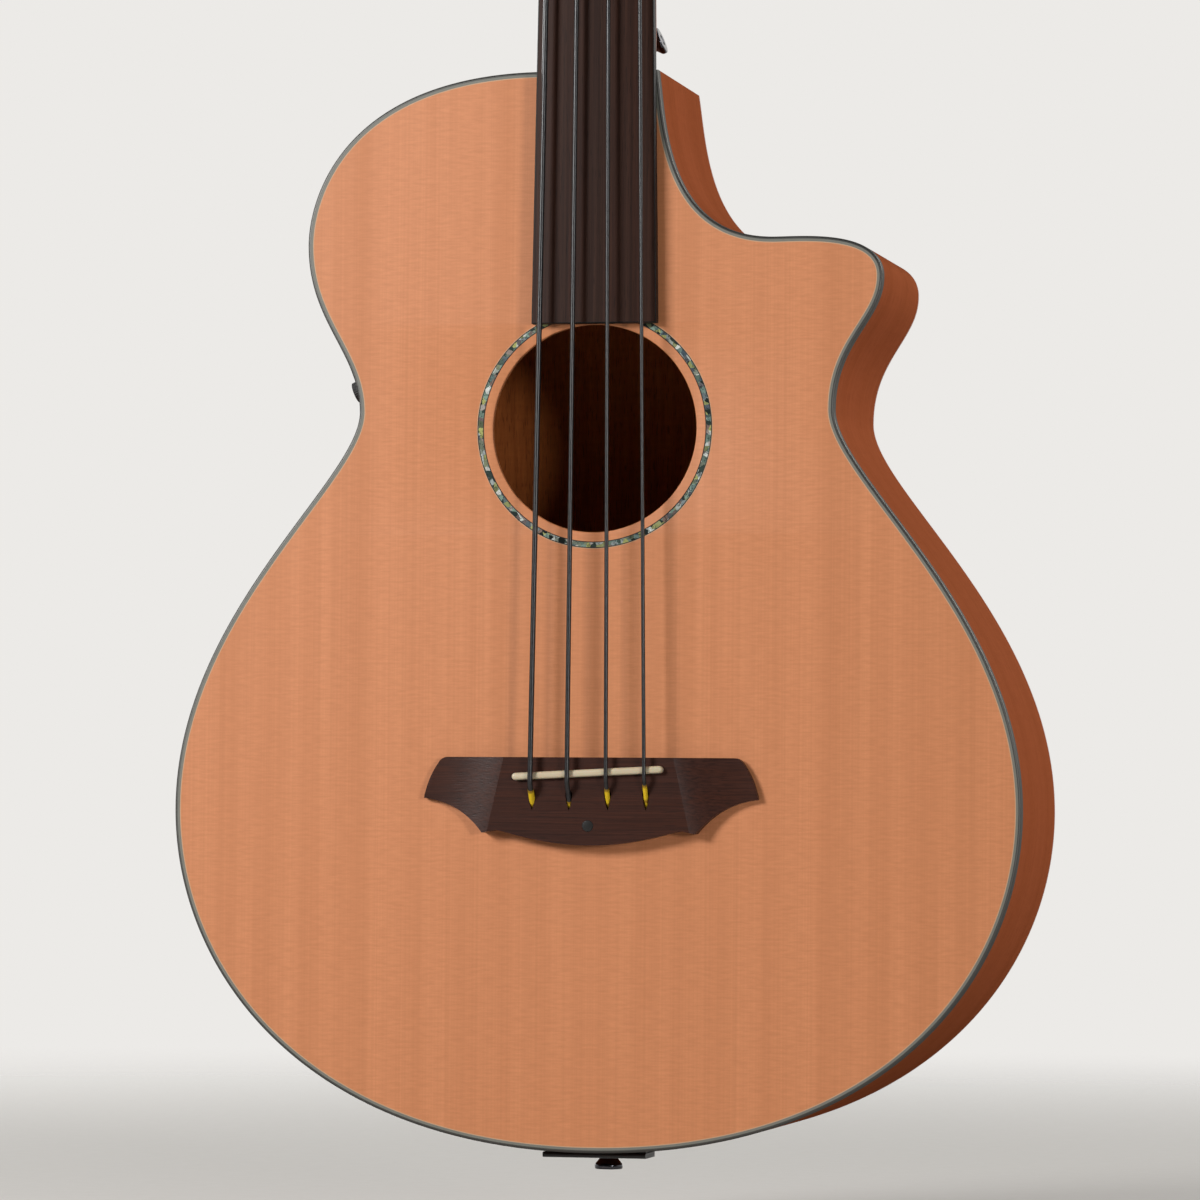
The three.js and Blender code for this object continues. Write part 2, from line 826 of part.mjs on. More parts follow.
// Braces: a bar whose ends taper, along X from -half to half
function bar(low, high, height, width) {
  const unit = new THREE.BoxGeometry(1, 1, 1, brace.steps, 1, 1);
  return remap(unit, (p) => {
    const share = Math.min(1, (0.5 - Math.abs(p.x)) / brace.taperShare);
    const tall = height * (brace.endShare + (1 - brace.endShare) * share);
    return new THREE.Vector3(low + (p.x + 0.5) * (high - low), (p.y + 0.5) * tall, p.z * width);
  });
}

function topBar(low, high, z, angle, extra = 0) {
  const geometry = bar(low, high, brace.height + extra, brace.width + 2 * extra);
  geometry.rotateY(angle);
  geometry.translate(0, liningTop, z);
  return common(geometry, clearOfLinings);
}

// The two cross braces meet in a half lap: one keeps its upper half there, the other its lower half
const crossZ = saddleZ + crossBrace.height;

function crossBar(side, extra = 0) {
  const low = side > 0 ? -crossBrace.lower : -crossBrace.upper;
  const high = side > 0 ? crossBrace.upper : crossBrace.lower;
  return topBar(low, high, crossZ, -side * crossBrace.angle, extra);
}

function lap(side) {
  const middle = liningTop + brace.height / 2;
  const reach = brace.height;
  const low = side > 0 ? middle - seat / 2 : 0;
  const high = side > 0 ? deepest : middle + seat / 2;
  return common(crossBar(side, seat), box(-reach, reach, low, high, crossZ - reach, crossZ + reach));
}
piece("cross_brace_bass", cut(crossBar(-1), lap(1)), spruce());
piece("cross_brace_treble", cut(crossBar(1), lap(-1)), spruce());
const transverseHalf = transverseBrace.length / 2;
const transverseZ = holeZ + transverseBrace.height;
piece("transverse_brace", topBar(-transverseHalf, transverseHalf, transverseZ, 0), spruce());
const toneHalf = toneBar.length / 2;
const toneZ = saddleZ - bridgePlate.bottom - toneBar.height;
piece("tone_bar", topBar(-toneHalf, toneHalf, toneZ, toneBar.angle), spruce());

function bridgePlateSolid() {
  const bottomZ = saddleZ - bridgePlate.bottom;
  const topZ = saddleZ + bridgePlate.top;
  const shape = new THREE.Shape([
    new THREE.Vector2(-bridgePlate.bottomHalf, bottomZ),
    new THREE.Vector2(bridgePlate.bottomHalf, bottomZ),
    new THREE.Vector2(bridgePlate.topHalf, topZ),
    new THREE.Vector2(-bridgePlate.topHalf, topZ),
  ]);
  return slab(shape, liningTop, liningTop + bridgePlate.thickness);
}
piece("bridge_plate", bridgePlateSolid(), spruce());

function backBrace(half, z) {
  const whole = remap(bar(-half, half, brace.height, brace.width), (p) => {
    return new THREE.Vector3(p.x, innerBack(p.x, z - p.z) - p.y, z - p.z);
  });
  return common(whole, clearOfLinings);
}
piece("back_brace_upper", backBrace(upperBackBrace.half, holeZ + upperBackBrace.height), spruce());
piece("back_brace_middle", backBrace(middleBackBrace.half, above(middleBackBrace.height)), spruce());
piece("back_brace_lower", backBrace(lowerBackBrace.half, above(lowerBackBrace.height)), spruce());

// Strings
const stringIndex = (name) => strings.names.indexOf(name) - (strings.names.length - 1) / 2;
const boardFront = seat + board.thickness;

const headGroup = new THREE.Group();
headGroup.position.set(0, 0, nut.length);
headGroup.rotation.x = -head.tilt;
headGroup.updateMatrixWorld(true);

const windingRadius = (name) => tuner.postRadius + tuner.running + strings.diameters[name] / 2;
const windingStart = (name) => tuner.flangeHeight + 2 * seat + strings.diameters[name] / 2;

// The turns round a post, from where the string arrives on the post's inner side
function windingPoints(name) {
  const place = tuner.places[name];
  const radius = windingRadius(name);
  const pitch = strings.diameters[name] + strings.turnGap;
  const count = strings.turns * strings.turnSteps;
  const points = Array.from({ length: count + 1 }, (_, i) => {
    const angle = (2 * Math.PI * i) / strings.turnSteps;
    const x = place.side * (place.x - radius * Math.cos(angle));
    const y = -windingStart(name) - (pitch * i) / strings.turnSteps;
    return new THREE.Vector3(x, y, place.z + radius * Math.sin(angle));
  });
  const along = points.at(-1).clone().sub(points.at(-2)).setLength(strings.tailLength);
  points.push(points.at(-1).clone().add(along));
  return points.map((point) => point.applyMatrix4(headGroup.matrixWorld));
}

// Points of a bend at a corner between two straight runs
function bend(before, corner, after) {
  const start = corner.clone().add(before.clone().sub(corner).setLength(strings.bendReach));
  const end = corner.clone().add(after.clone().sub(corner).setLength(strings.bendReach));
  return new THREE.QuadraticBezierCurve3(start, corner, end).getPoints(strings.bendSteps);
}

function stringRoute(name) {
  const radius = strings.diameters[name] / 2;
  const saddleX = stringIndex(name) * strings.saddleSpacing;
  const nutX = stringIndex(name) * strings.nutSpacing;
  const leavingZ = saddleZ + saddleX * Math.tan(saddle.slant) - saddle.thickness / 2 - strings.bendReach;
  const anchor = new THREE.Vector3(saddleX, -strings.anchorHeight, saddleZ - strings.anchorDrop);
  const mouth = new THREE.Vector3(saddleX, -strings.anchorHeight, saddleZ - strings.mouthDrop);
  const crest = new THREE.Vector3(saddleX, -saddle.height - seat - radius, leavingZ);
  const rest = new THREE.Vector3(nutX, -boardFront - nut.clearance - seat - radius, nut.length / 2);
  const winding = windingPoints(name);
  return [
    anchor,
    ...bend(anchor, mouth, crest),
    ...bend(mouth, crest, rest),
    ...bend(crest, rest, winding[0]),
    ...winding,
  ];
}

function ballEnd(name) {
  const ball = cylinder(strings.ballRadius, -strings.ballLength, 0, strings.ballSides);
  const x = stringIndex(name) * strings.saddleSpacing;
  ball.rotateX(quarterTurn);
  ball.translate(x, -strings.anchorHeight, saddleZ - strings.anchorDrop + seat);
  return ball;
}

const routes = Object.fromEntries(strings.names.map((name) => [name, stringRoute(name)]));

function leastGap(name) {
  const points = routes[name];
  const apart = strings.turnSteps / 2;
  let least = Infinity;
  for (let i = 0; i < points.length; i++) {
    for (let k = i + apart; k < points.length; k++) least = Math.min(least, points[i].distanceTo(points[k]));
  }
  return least - strings.diameters[name];
}

for (const name of strings.names) {
  const radius = strings.diameters[name] / 2;
  piece("string_" + name, join(tube(routes[name], radius, strings.sides), ballEnd(name)), tapeWound());
  console.log("string " + name + ": least gap between turns " + leastGap(name).toFixed(2) + " mm");
}

// Grooves along a string's route, from the end of one bend to the start of a later one
const bendEnd = (number) => (strings.bendSteps + 1) * number;

function stringGrooves(first, last, clearance) {
  return strings.names.map((name) => {
    const points = routes[name].slice(first, last + 1);
    return tube(points, strings.diameters[name] / 2 + clearance, strings.sides + 2);
  });
}

function anchorBores() {
  return strings.names.map((name) => {
    const bore = cylinder(strings.ballRadius + seat, 0, strings.boreDrop - strings.anchorDrop, strings.ballSides);
    bore.rotateX(-quarterTurn);
    const x = stringIndex(name) * strings.saddleSpacing;
    bore.translate(x, -strings.anchorHeight, saddleZ - strings.anchorDrop + 2 * seat);
    return bore;
  });
}

// Bridge
function bridgeShape() {
  const top = saddleZ + bridge.rise;
  const belly = saddleZ - bridge.drop;
  const tip = saddleZ - bridge.tipDrop;
  const pointZ = saddleZ - bridge.pointDrop;
  const notch = saddleZ - bridge.notchDrop;
  const radius = bridge.cornerRadius;
  const middleX = (bridge.topHalf + bridge.tipHalf) / 2 + bridge.sideBulge;
  const middleZ = (top + tip) / 2;
  const pointX = bridge.notchHalf + bridge.pointHalf;
  const hollowX = (bridge.tipHalf + pointX) / 2 - bridge.wingHollow / 2;
  const hollowZ = (tip + pointZ) / 2 + bridge.wingHollow;
  const shape = new THREE.Shape();
  shape.moveTo(0, belly);
  shape.bezierCurveTo(bridge.bellyHandle, belly, bridge.notchHalf - radius, notch, bridge.notchHalf, notch);
  shape.lineTo(pointX, pointZ);
  shape.quadraticCurveTo(hollowX, hollowZ, bridge.tipHalf, tip);
  shape.quadraticCurveTo(middleX, middleZ, bridge.topHalf + radius / 2, top - radius);
  shape.quadraticCurveTo(bridge.topHalf, top, bridge.topHalf - radius, top);
  shape.lineTo(radius - bridge.topHalf, top);
  shape.quadraticCurveTo(-bridge.topHalf, top, -bridge.topHalf - radius / 2, top - radius);
  shape.quadraticCurveTo(-middleX, middleZ, -bridge.tipHalf, tip);
  shape.quadraticCurveTo(-hollowX, hollowZ, -pointX, pointZ);
  shape.lineTo(-bridge.notchHalf, notch);
  shape.bezierCurveTo(radius - bridge.notchHalf, notch, -bridge.bellyHandle, belly, 0, belly);
  return new THREE.Shape(shape.getPoints(bridge.curveSteps));
}

// What is hollowed out of a wing, from the facet edge outwards
function wingHollow(side) {
  const full = bridge.thickness + seat;
  const low = bridge.wingThickness + seat;
  const run = bridge.wingRun;
  const shape = new THREE.Shape();
  shape.moveTo(0, -full);
  shape.quadraticCurveTo(side * run * bridge.wingPullShare, -low, side * run, -low);
  shape.lineTo(side * (run + bridge.tipHalf), -low);
  shape.lineTo(side * (run + bridge.tipHalf), -full - overrun);
  shape.lineTo(0, -full - overrun);
  const length = bridge.rise + bridge.drop;
  const outlinePoints = new THREE.Shape(shape.getPoints(bridge.curveSteps));
  const tool = new THREE.ExtrudeGeometry(outlinePoints, { depth: 2 * length, bevelEnabled: false });
  tool.translate(0, 0, -2 * length + overrun);
  tool.rotateY(-side * Math.atan2(bridge.facetBottomHalf - bridge.facetTopHalf, length));
  tool.translate(side * bridge.facetTopHalf, 0, saddleZ + bridge.rise);
  return tool;
}

function slanted(geometry) {
  geometry.rotateY(-saddle.slant);
  geometry.translate(0, 0, saddleZ);
  return geometry;
}

function saddlePlan(extra) {
  const radius = saddle.thickness / 2 + extra;
  const middle = saddle.half - saddle.thickness / 2;
  const end = (side) => {
    return Array.from({ length: saddle.steps + 1 }, (_, i) => {
      const angle = side * ((Math.PI * i) / saddle.steps - quarterTurn);
      return new THREE.Vector2(side * (middle + radius * Math.cos(angle)), radius * Math.sin(angle));
    });
  };
  return new THREE.Shape([...end(1), ...end(-1)]);
}

const slotFloor = -bridge.thickness - seat + saddle.slotDepth;
const pickupFront = slotFloor - seat - pickup.height;

function pickupBox(extra) {
  const half = pickup.half + extra;
  const across = pickup.thickness / 2 + extra;
  return slanted(box(-half, half, pickupFront - extra, slotFloor - seat + extra, -across, across));
}

function bridgeSolid() {
  const whole = slab(bridgeShape(), -bridge.thickness - seat, -seat);
  const slot = slanted(slab(saddlePlan(seat), -bridge.thickness - overrun, slotFloor));
  const dotZ = saddleZ - dot.drop;
  const dotTop = -bridge.thickness - seat;
  const dotHole = slab(disc(0, dotZ, dot.radius + seat, dot.steps), dotTop - overrun, dotTop + dot.depth + seat);
  const grooves = stringGrooves(0, bendEnd(1) + 1, strings.slotClearance);
  const room = pickupBox(seat);
  return cut(whole, wingHollow(1), wingHollow(-1), slot, room, dotHole, ...grooves, ...anchorBores());
}
piece("bridge", bridgeSolid(), rosewood());
piece("saddle", slanted(slab(saddlePlan(0), -saddle.height, pickupFront - seat)), bone());
piece("saddle_pickup", pickupBox(0), steel());
const dotFront = -bridge.thickness - seat;
piece("bridge_dot", slab(disc(0, saddleZ - dot.drop, dot.radius, dot.steps), dotFront, dotFront + dot.depth), blackPlastic());

// Fingerboard and its edging: narrower towards the nut, and lower at the edges
const boardHalf = (z) => board.nutHalf + ((board.endHalf - board.nutHalf) * -z) / board.length;

function boardSolid(edge, extra) {
  const unit = new THREE.BoxGeometry(2, 1, 1, board.steps, 1, 1);
  return remap(unit, (p) => {
    const z = p.z < 0 ? -board.length + edge : -seat + extra;
    const half = boardHalf(z) - edge;
    const x = p.x * half;
    const drop = board.camber * (x / boardHalf(z)) ** 2;
    const y = p.y < 0 ? -boardFront + drop - extra : -seat + extra;
    return new THREE.Vector3(x, y, z);
  });
}
piece("fingerboard", boardSolid(board.bindingWidth + seat, 0), rosewood());
const edging = cut(boardSolid(0, 0), boardSolid(board.bindingWidth, overrun));
piece("fingerboard_edging", edging, blackPlastic());

const nutBlock = box(-board.nutHalf, board.nutHalf, -nut.height, -seat, 0, nut.length - seat);
piece("nut", cut(nutBlock, ...stringGrooves(bendEnd(2), bendEnd(3) + 1, seat)), bone());

// Neck: a shaft that deepens into the heel, with the headstock at its end
const heelTop = joinZ + neck.heelFoot + neck.heelLength;

function neckDepth(z) {
  const share = Math.min(1, Math.max(0, z / joinZ));
  const shaft = neck.nutDepth + (neck.joinDepth - neck.nutDepth) * share;
  const heelShare = Math.min(1, Math.max(0, (heelTop - z) / neck.heelLength));
  const deep = body.depthAtNeck * neck.heelShare - shaft;
  return { shaft, whole: shaft + deep * (1 - Math.sqrt(1 - heelShare ** 2)) };
}

// A section's vertex is given by its side (x) and by its share of the depth (y)
function neckSection(x, level, z) {
  const { shaft, whole } = neckDepth(z);
  const half = boardHalf(z);
  const y = level * whole;
  const round = y < shaft ? half * Math.sqrt(1 - (y / shaft) ** 2) : 0;
  const fromTop = Math.min(1, Math.max(0, (heelTop - z) / (heelTop - joinZ)));
  const blade = half * neck.bladeShare * fromTop * (1 - (neck.taperShare * y) / whole);
  const started = Math.min(1, y / shaft);
  const narrow = blade * started * Math.sqrt(Math.max(0, 1 - level ** neck.bladePower));
  const mixed = (round ** neck.mixPower + narrow ** neck.mixPower) ** (1 / neck.mixPower);
  return new THREE.Vector3(Math.sign(x) * Math.min(half, mixed), y, z);
}

function neckShaft() {
  const steps = neck.sectionSteps;
  const levels = Array.from({ length: steps + 1 }, (_, i) => {
    const angle = (Math.PI * i) / steps;
    return new THREE.Vector2(Math.cos(angle), Math.sin(angle));
  });
  const heel = Array.from({ length: neck.heelSteps + 1 }, (_, i) => {
    return heelTop - neck.heelLength * Math.cos((quarterTurn * i) / neck.heelSteps);
  });
  const shaft = Array.from({ length: neck.shaftSteps }, (_, i) => {
    return heelTop + ((nut.length - heelTop) * (i + 1)) / neck.shaftSteps;
  });
  const rings = [joinZ - overrun, ...heel, ...shaft];
  const settings = { depth: rings.length - 1, steps: rings.length - 1, bevelEnabled: false };
  const unit = new THREE.ExtrudeGeometry(new THREE.Shape(levels), settings);
  return remap(unit, (p) => {
    const isMiddle = Math.abs(p.x) < mergeDistance;
    return neckSection(isMiddle ? 0 : p.x, Math.min(1, Math.max(0, p.y)), rings[Math.round(p.z)]);
  });
}

function headPlan() {
  const shape = new THREE.Shape();
  const shoulder = head.shoulderHeight;
  shape.moveTo(-board.nutHalf, -head.rootReach);
  shape.lineTo(board.nutHalf, -head.rootReach);
  shape.lineTo(board.nutHalf, 0);
  shape.bezierCurveTo(board.nutHalf, shoulder / 2, head.shoulderHalf, shoulder / 2, head.shoulderHalf, shoulder);
  shape.lineTo(head.topHalf, head.length);
  shape.quadraticCurveTo(0, head.length - 2 * head.topDip, -head.topHalf, head.length);
  shape.lineTo(-head.shoulderHalf, shoulder);
  shape.bezierCurveTo(-head.shoulderHalf, shoulder / 2, -board.nutHalf, shoulder / 2, -board.nutHalf, 0);
  return new THREE.Shape(shape.getPoints(head.curveSteps));
}

const headFront = head.veneer + seat;
const headBack = headFront + head.thickness;
const postHoleRadius = tuner.postRadius + tuner.running + tuner.bushingWall + seat;

function postHoles() {
  return Object.values(tuner.places).map(({ side, x, z }) => {
    return slab(disc(side * x, z, postHoleRadius, tuner.postSteps), -overrun, headBack + overrun);
  });
}

function rodPocket() {
  const { pocketHalf, pocketDepth, pocketLength } = trussRod;
  return box(-pocketHalf, pocketHalf, -overrun, pocketDepth, -head.rootReach - overrun, pocketLength);
}

function inHead(geometry) {
  return geometry.applyMatrix4(headGroup.matrixWorld);
}

const pinAxis = new THREE.Vector3(Math.cos(heelButton.tilt), 0, Math.sin(heelButton.tilt));

// Turns a piece drawn about the Y axis to stand out of the heel's treble side
function onHeel(geometry) {
  const turn = new THREE.Quaternion().setFromUnitVectors(new THREE.Vector3(0, 1, 0), pinAxis);
  geometry.applyQuaternion(turn);
  geometry.translate(heelButton.seatX, heelButton.setback, joinZ + heelButton.rise);
  return geometry;
}

function neckSolid() {
  const shaft = neckShaft();
  const plate = inHead(slab(headPlan(), headFront, headBack));
  const below = box(-body.lowerHalf, body.lowerHalf, -overrun, deepest, joinZ - 2 * overrun, joinZ + seat);
  const channelEnd = joinZ + trussRod.tailClearance;
  const channelHalf = Math.max(trussRod.half, trussRod.nutRadius) + seat;
  const channel = box(-channelHalf, channelHalf, -overrun, trussRod.depth + seat, channelEnd, nut.length);
  const spot = cylinder(heelButton.baseRadius + seat, 0, neck.heelLength, heelButton.steps);
  const screw = cylinder(heelButton.screwRadius + seat, -heelButton.screwLength - seat, seat, heelButton.steps);
  const nutShelf = inHead(box(-head.shoulderHalf, head.shoulderHalf, -deepest, headFront, 0, head.length + overrun));
  const tools = [below, channel, onHeel(spot), onHeel(screw), nutShelf, inHead(rodPocket())];
  return cut(join(shaft, plate), ...tools, ...postHoles().map(inHead));
}
piece("neck", neckSolid(), mahogany());

function trussRodSolid() {
  const low = joinZ + trussRod.tailClearance + seat;
  const bar = box(-trussRod.half, trussRod.half, trussRod.inset, trussRod.depth, low, 0);
  const adjuster = cylinder(trussRod.nutRadius, -trussRod.nutLength, trussRod.nutLength, trussRod.nutSides);
  adjuster.rotateX(quarterTurn);
  adjuster.translate(0, trussRod.inset + trussRod.nutRadius + 2 * seat, 0);
  return join(bar, adjuster);
}
piece("truss_rod", trussRodSolid(), steel());

function heelButtonSolid() {
  const { length, flangeRadius, flangeHeight, waistRadius, baseRadius, baseHeight, screwRadius, screwLength } = heelButton;
  const profile = [
    [0, -screwLength],
    [screwRadius, -screwLength],
    [screwRadius, seat],
    [baseRadius, seat],
    [baseRadius, seat + baseHeight],
    [waistRadius, (length + baseHeight) / 2],
    [flangeRadius, length - flangeHeight],
    [flangeRadius, length],
    [0, length],
  ];
  return onHeel(turned(profile, heelButton.steps));
}
piece("heel_button", heelButtonSolid(), chrome());

// Headstock pieces, in the headstock's own tilted frame
function headstockFaceSolid() {
  const low = -head.rootReach - overrun;
  const underNut = box(-head.shoulderHalf, head.shoulderHalf, -overrun, headBack, low, seat);
  return cut(slab(headPlan(), 0, head.veneer), underNut, rodPocket(), ...postHoles());
}
piece("headstock_face", headstockFaceSolid(), rosewood(), headGroup);

function rodCoverSolid() {
  const shape = new THREE.Shape();
  const top = rodCover.start + rodCover.length;
  const low = rodCover.start;
  const { half, topHalf, cornerHandle } = rodCover;
  shape.moveTo(-half, low);
  shape.lineTo(half, low);
  shape.bezierCurveTo(half, low + cornerHandle, topHalf, top - cornerHandle, topHalf, top);
  shape.lineTo(-topHalf, top);
  shape.bezierCurveTo(-topHalf, top - cornerHandle, -half, low + cornerHandle, -half, low);
  return slab(new THREE.Shape(shape.getPoints(head.curveSteps)), -seat - rodCover.thickness, -seat);
}
piece("truss_rod_cover", rodCoverSolid(), blackPlastic(), headGroup);

// One tuner: the post's axis is the Y axis, Y = 0 is the headstock's face
const plateFront = headBack + seat;
const plateBack = plateFront + tuner.plateThickness;
const wormY = plateBack + tuner.wormRadius + seat;
const gearFront = wormY - tuner.gearThickness / 2;
const gearBack = wormY + tuner.gearThickness / 2;
const wormZ = -(tuner.gearTip + tuner.wormRadius + seat);
const earInner = tuner.wormLength / 2 + seat;
const earOuter = earInner + tuner.earThickness;

function bushingSolid() {
  const inner = tuner.postRadius + tuner.running;
  const outer = inner + tuner.bushingWall;
  const profile = [
    [inner, -seat - tuner.flangeHeight],
    [tuner.flangeRadius - tuner.bushingWall, -seat - tuner.flangeHeight],
    [tuner.flangeRadius, -seat],
    [outer, -seat],
    [outer, tuner.sleeveDepth],
    [inner, tuner.sleeveDepth],
    [inner, -seat - tuner.flangeHeight],
  ];
  return turned(profile, tuner.postSteps);
}

function postSolid() {
  const radius = tuner.postRadius;
  const top = -tuner.postHeight;
  const profile = [
    [0, top],
    [tuner.capRadius, top],
    [tuner.capRadius, top + tuner.capHeight],
    [radius, top + tuner.capHeight + (tuner.capRadius - radius)],
    [radius, gearBack - seat],
    [0, gearBack - seat],
  ];
  const teeth = Array.from({ length: 2 * tuner.teeth }, (_, i) => {
    const angle = (Math.PI * i) / tuner.teeth;
    const reach = i % 2 ? tuner.gearTip : tuner.gearRoot;
    return new THREE.Vector2(reach * Math.cos(angle), reach * Math.sin(angle));
  });
  const gear = slab(new THREE.Shape(teeth), gearFront, gearBack);
  const slotHalf = tuner.slotWidth / 2;
  const reach = tuner.capRadius + overrun;
  const slot = box(-reach, reach, top - overrun, top + tuner.slotDepth, -slotHalf, slotHalf);
  return cut(join(turned(profile, tuner.postSteps), gear), slot);
}

function baseSolid() {
  const low = -tuner.plateBelow;
  const plan = roundedRectangle(-tuner.plateHalf, tuner.plateHalf, low, tuner.plateAbove, tuner.plateRadius);
  plan.holes.push(new THREE.Path(circlePoints(0, 0, tuner.postRadius + tuner.running, tuner.postSteps)));
  const earHalf = tuner.earWidth / 2;
  const earTop = wormY + earHalf;
  const ears = [-1, 1].map((side) => {
    const near = Math.min(side * earInner, side * earOuter);
    const far = Math.max(side * earInner, side * earOuter);
    return box(near, far, plateFront + seat, earTop, wormZ - earHalf, wormZ + earHalf);
  });
  const bore = cylinder(tuner.shaftRadius + tuner.running, -tuner.plateHalf, tuner.plateHalf, tuner.shaftSteps);
  bore.rotateZ(quarterTurn);
  bore.translate(0, wormY, wormZ);
  return cut(join(slab(plan, plateFront, plateBack), ...ears), bore);
}

// A key: worm, shaft, collar and button along X, outwards to the given side
function keySolid(side) {
  const half = tuner.wormLength / 2;
  const ring = tuner.wormLength / tuner.wormRings;
  const inner = -earOuter - seat;
  const buttonStart = tuner.keyReach - tuner.buttonLength / 2;
  const profile = [[0, inner], [tuner.shaftRadius, inner], [tuner.shaftRadius, -half]];
  for (let i = 0; i < tuner.wormRings; i++) {
    const start = -half + i * ring;
    profile.push([tuner.wormRoot, start], [tuner.wormRadius, start + ring / 2], [tuner.wormRoot, start + ring]);
  }
  profile.push(
    [tuner.shaftRadius, half],
    [tuner.shaftRadius, buttonStart - tuner.collarLength],
    [tuner.collarRadius, buttonStart - tuner.collarLength],
    [tuner.collarRadius, buttonStart + seat],
    [0, buttonStart + seat],
  );
  const unique = profile.filter(([r, h], i) => i === 0 || r !== profile[i - 1][0] || h !== profile[i - 1][1]);
  const shaft = turned(unique, tuner.shaftSteps);
  const button = new THREE.SphereGeometry(1, tuner.buttonSteps, tuner.buttonSteps / 2);
  button.scale(tuner.buttonWidth / 2, tuner.buttonLength / 2, tuner.buttonThickness / 2);
  button.translate(0, tuner.keyReach, 0);
  const key = join(shaft, button);
  key.rotateZ(-side * quarterTurn);
  return key;
}

for (const name of strings.names) {
  const { side, x, z } = tuner.places[name];
  const group = new THREE.Group();
  group.position.set(side * x, 0, z);
  headGroup.add(group);
  piece("tuner_bushing_" + name, bushingSolid(), chrome(), group);
  piece("tuner_post_" + name, postSolid(), chrome(), group);
  piece("tuner_base_" + name, baseSolid(), chrome(), group);
  const key = piece("tuner_key_" + name, keySolid(side), chrome(), group);
  key.position.set(0, wormY, wormZ);
}
model.add(headGroup);

export default model;
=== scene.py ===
"""The looks of an acoustic bass guitar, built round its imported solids.

Lengths are millimetres until a mesh is made, which turns them to metres. X points to the treble side, Z
up to the headstock, and the soundboard's face lies in the plane Y = 0 and faces -Y.
"""
import logging
import math
from collections.abc import Callable, Sequence
from dataclasses import dataclass, field
from enum import Enum

import bmesh
import bpy
from mathutils import Matrix, Vector
from mathutils.geometry import tessellate_polygon


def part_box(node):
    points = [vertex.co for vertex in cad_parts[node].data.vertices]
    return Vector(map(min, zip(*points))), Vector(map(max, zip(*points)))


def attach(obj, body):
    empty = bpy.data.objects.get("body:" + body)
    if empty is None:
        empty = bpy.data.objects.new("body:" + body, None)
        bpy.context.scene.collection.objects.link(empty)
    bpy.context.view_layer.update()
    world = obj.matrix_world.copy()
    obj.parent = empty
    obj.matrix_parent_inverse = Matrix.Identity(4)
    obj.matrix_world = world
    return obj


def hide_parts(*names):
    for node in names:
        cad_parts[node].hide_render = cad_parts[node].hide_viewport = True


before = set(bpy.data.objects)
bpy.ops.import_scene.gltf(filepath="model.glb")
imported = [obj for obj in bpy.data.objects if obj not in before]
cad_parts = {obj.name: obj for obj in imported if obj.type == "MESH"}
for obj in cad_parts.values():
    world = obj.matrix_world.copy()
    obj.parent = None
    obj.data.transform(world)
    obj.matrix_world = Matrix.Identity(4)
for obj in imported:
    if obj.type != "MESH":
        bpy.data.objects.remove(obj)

MM = 0.001
QUARTER = math.pi / 2
WHOLE = math.pi * 2
ROOT = "instrument"
IDENTITY = Matrix.Identity(4)
MIX_A, MIX_B, MIX_RESULT = 6, 7, 2  # sockets of a colour mix

# Sizes that several classes share, in millimetres
SEAT = 0.3  # glue line or gap between a piece and what carries it
RUNNING = 0.3  # gap round a post
SADDLE_Z = -863.6
SADDLE_SLANT = 0.052  # in radians
SADDLE_THICKNESS = 3.6
STRING_PLACES = (-27.7, -9.4, 9.8, 28.65)  # X of the strings at the saddle
NUT_HALF = 21.5
NUT_LENGTH = 5.0
BOARD_LENGTH = 644.9
BOARD_FRONT = 6.6
POST_RADIUS = 4.75

Loop = list[Vector]
Ring = list[Vector]
Place = Sequence[float]
Pairs = list[tuple[float, float]]
Profile = Sequence[tuple[float, float]]
Object = bpy.types.Object
Tree = bpy.types.NodeTree
Socket = bpy.types.NodeSocket

logging.basicConfig(level=logging.INFO, format="%(message)s")
log = logging.getLogger("bass")


def box_of(node: str) -> tuple[Vector, Vector]:
    """Returns a solid's lowest and highest corners in millimetres."""
    low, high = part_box(node)
    return low / MM, high / MM


def clamp(value: float) -> float:
    """Returns the value held between 0 and 1."""
    return min(1.0, max(0.0, value))


def smooth_step(value: float) -> float:
    """Returns an S-shaped ramp from 0 to 1."""
    share = clamp(value)
    return share * share * (3 - 2 * share)


def blend_between(low: float, high: float, share: float) -> float:
    """Returns the value that lies a share of the way from low to high."""
    return low + (high - low) * share


def spaced(low: float, high: float, steps: int) -> list[float]:
    """Returns the values from low to high in equal steps."""
    return [blend_between(low, high, i / steps) for i in range(steps + 1)]


def angles(turn: float, steps: int) -> list[float]:
    """Returns the angles from zero to a turn in equal steps."""
    return [turn * i / steps for i in range(steps + 1)]


def at(x: float, y: float, z: float, angle: float = 0.0, axis: str = "Y") -> Matrix:
    """Returns a frame at a place, turned round an axis."""
    return Matrix.Translation((x, y, z)) @ Matrix.Rotation(angle, 4, axis)


# Colour and shader nodes


def linear(colour: str) -> tuple[float, float, float, float]:
    """Turns an sRGB hex colour to linear light.

    Args:
        colour: A colour such as "#CD8C69".

    Returns:
        Red, green, blue and an alpha of one.
    """
    channels = [int(colour[i : i + 2], 16) / 255 for i in (1, 3, 5)]
    red, green, blue = (c / 12.92 if c <= 0.04045 else ((c + 0.055) / 1.055) ** 2.4 for c in channels)
    return red, green, blue, 1.0


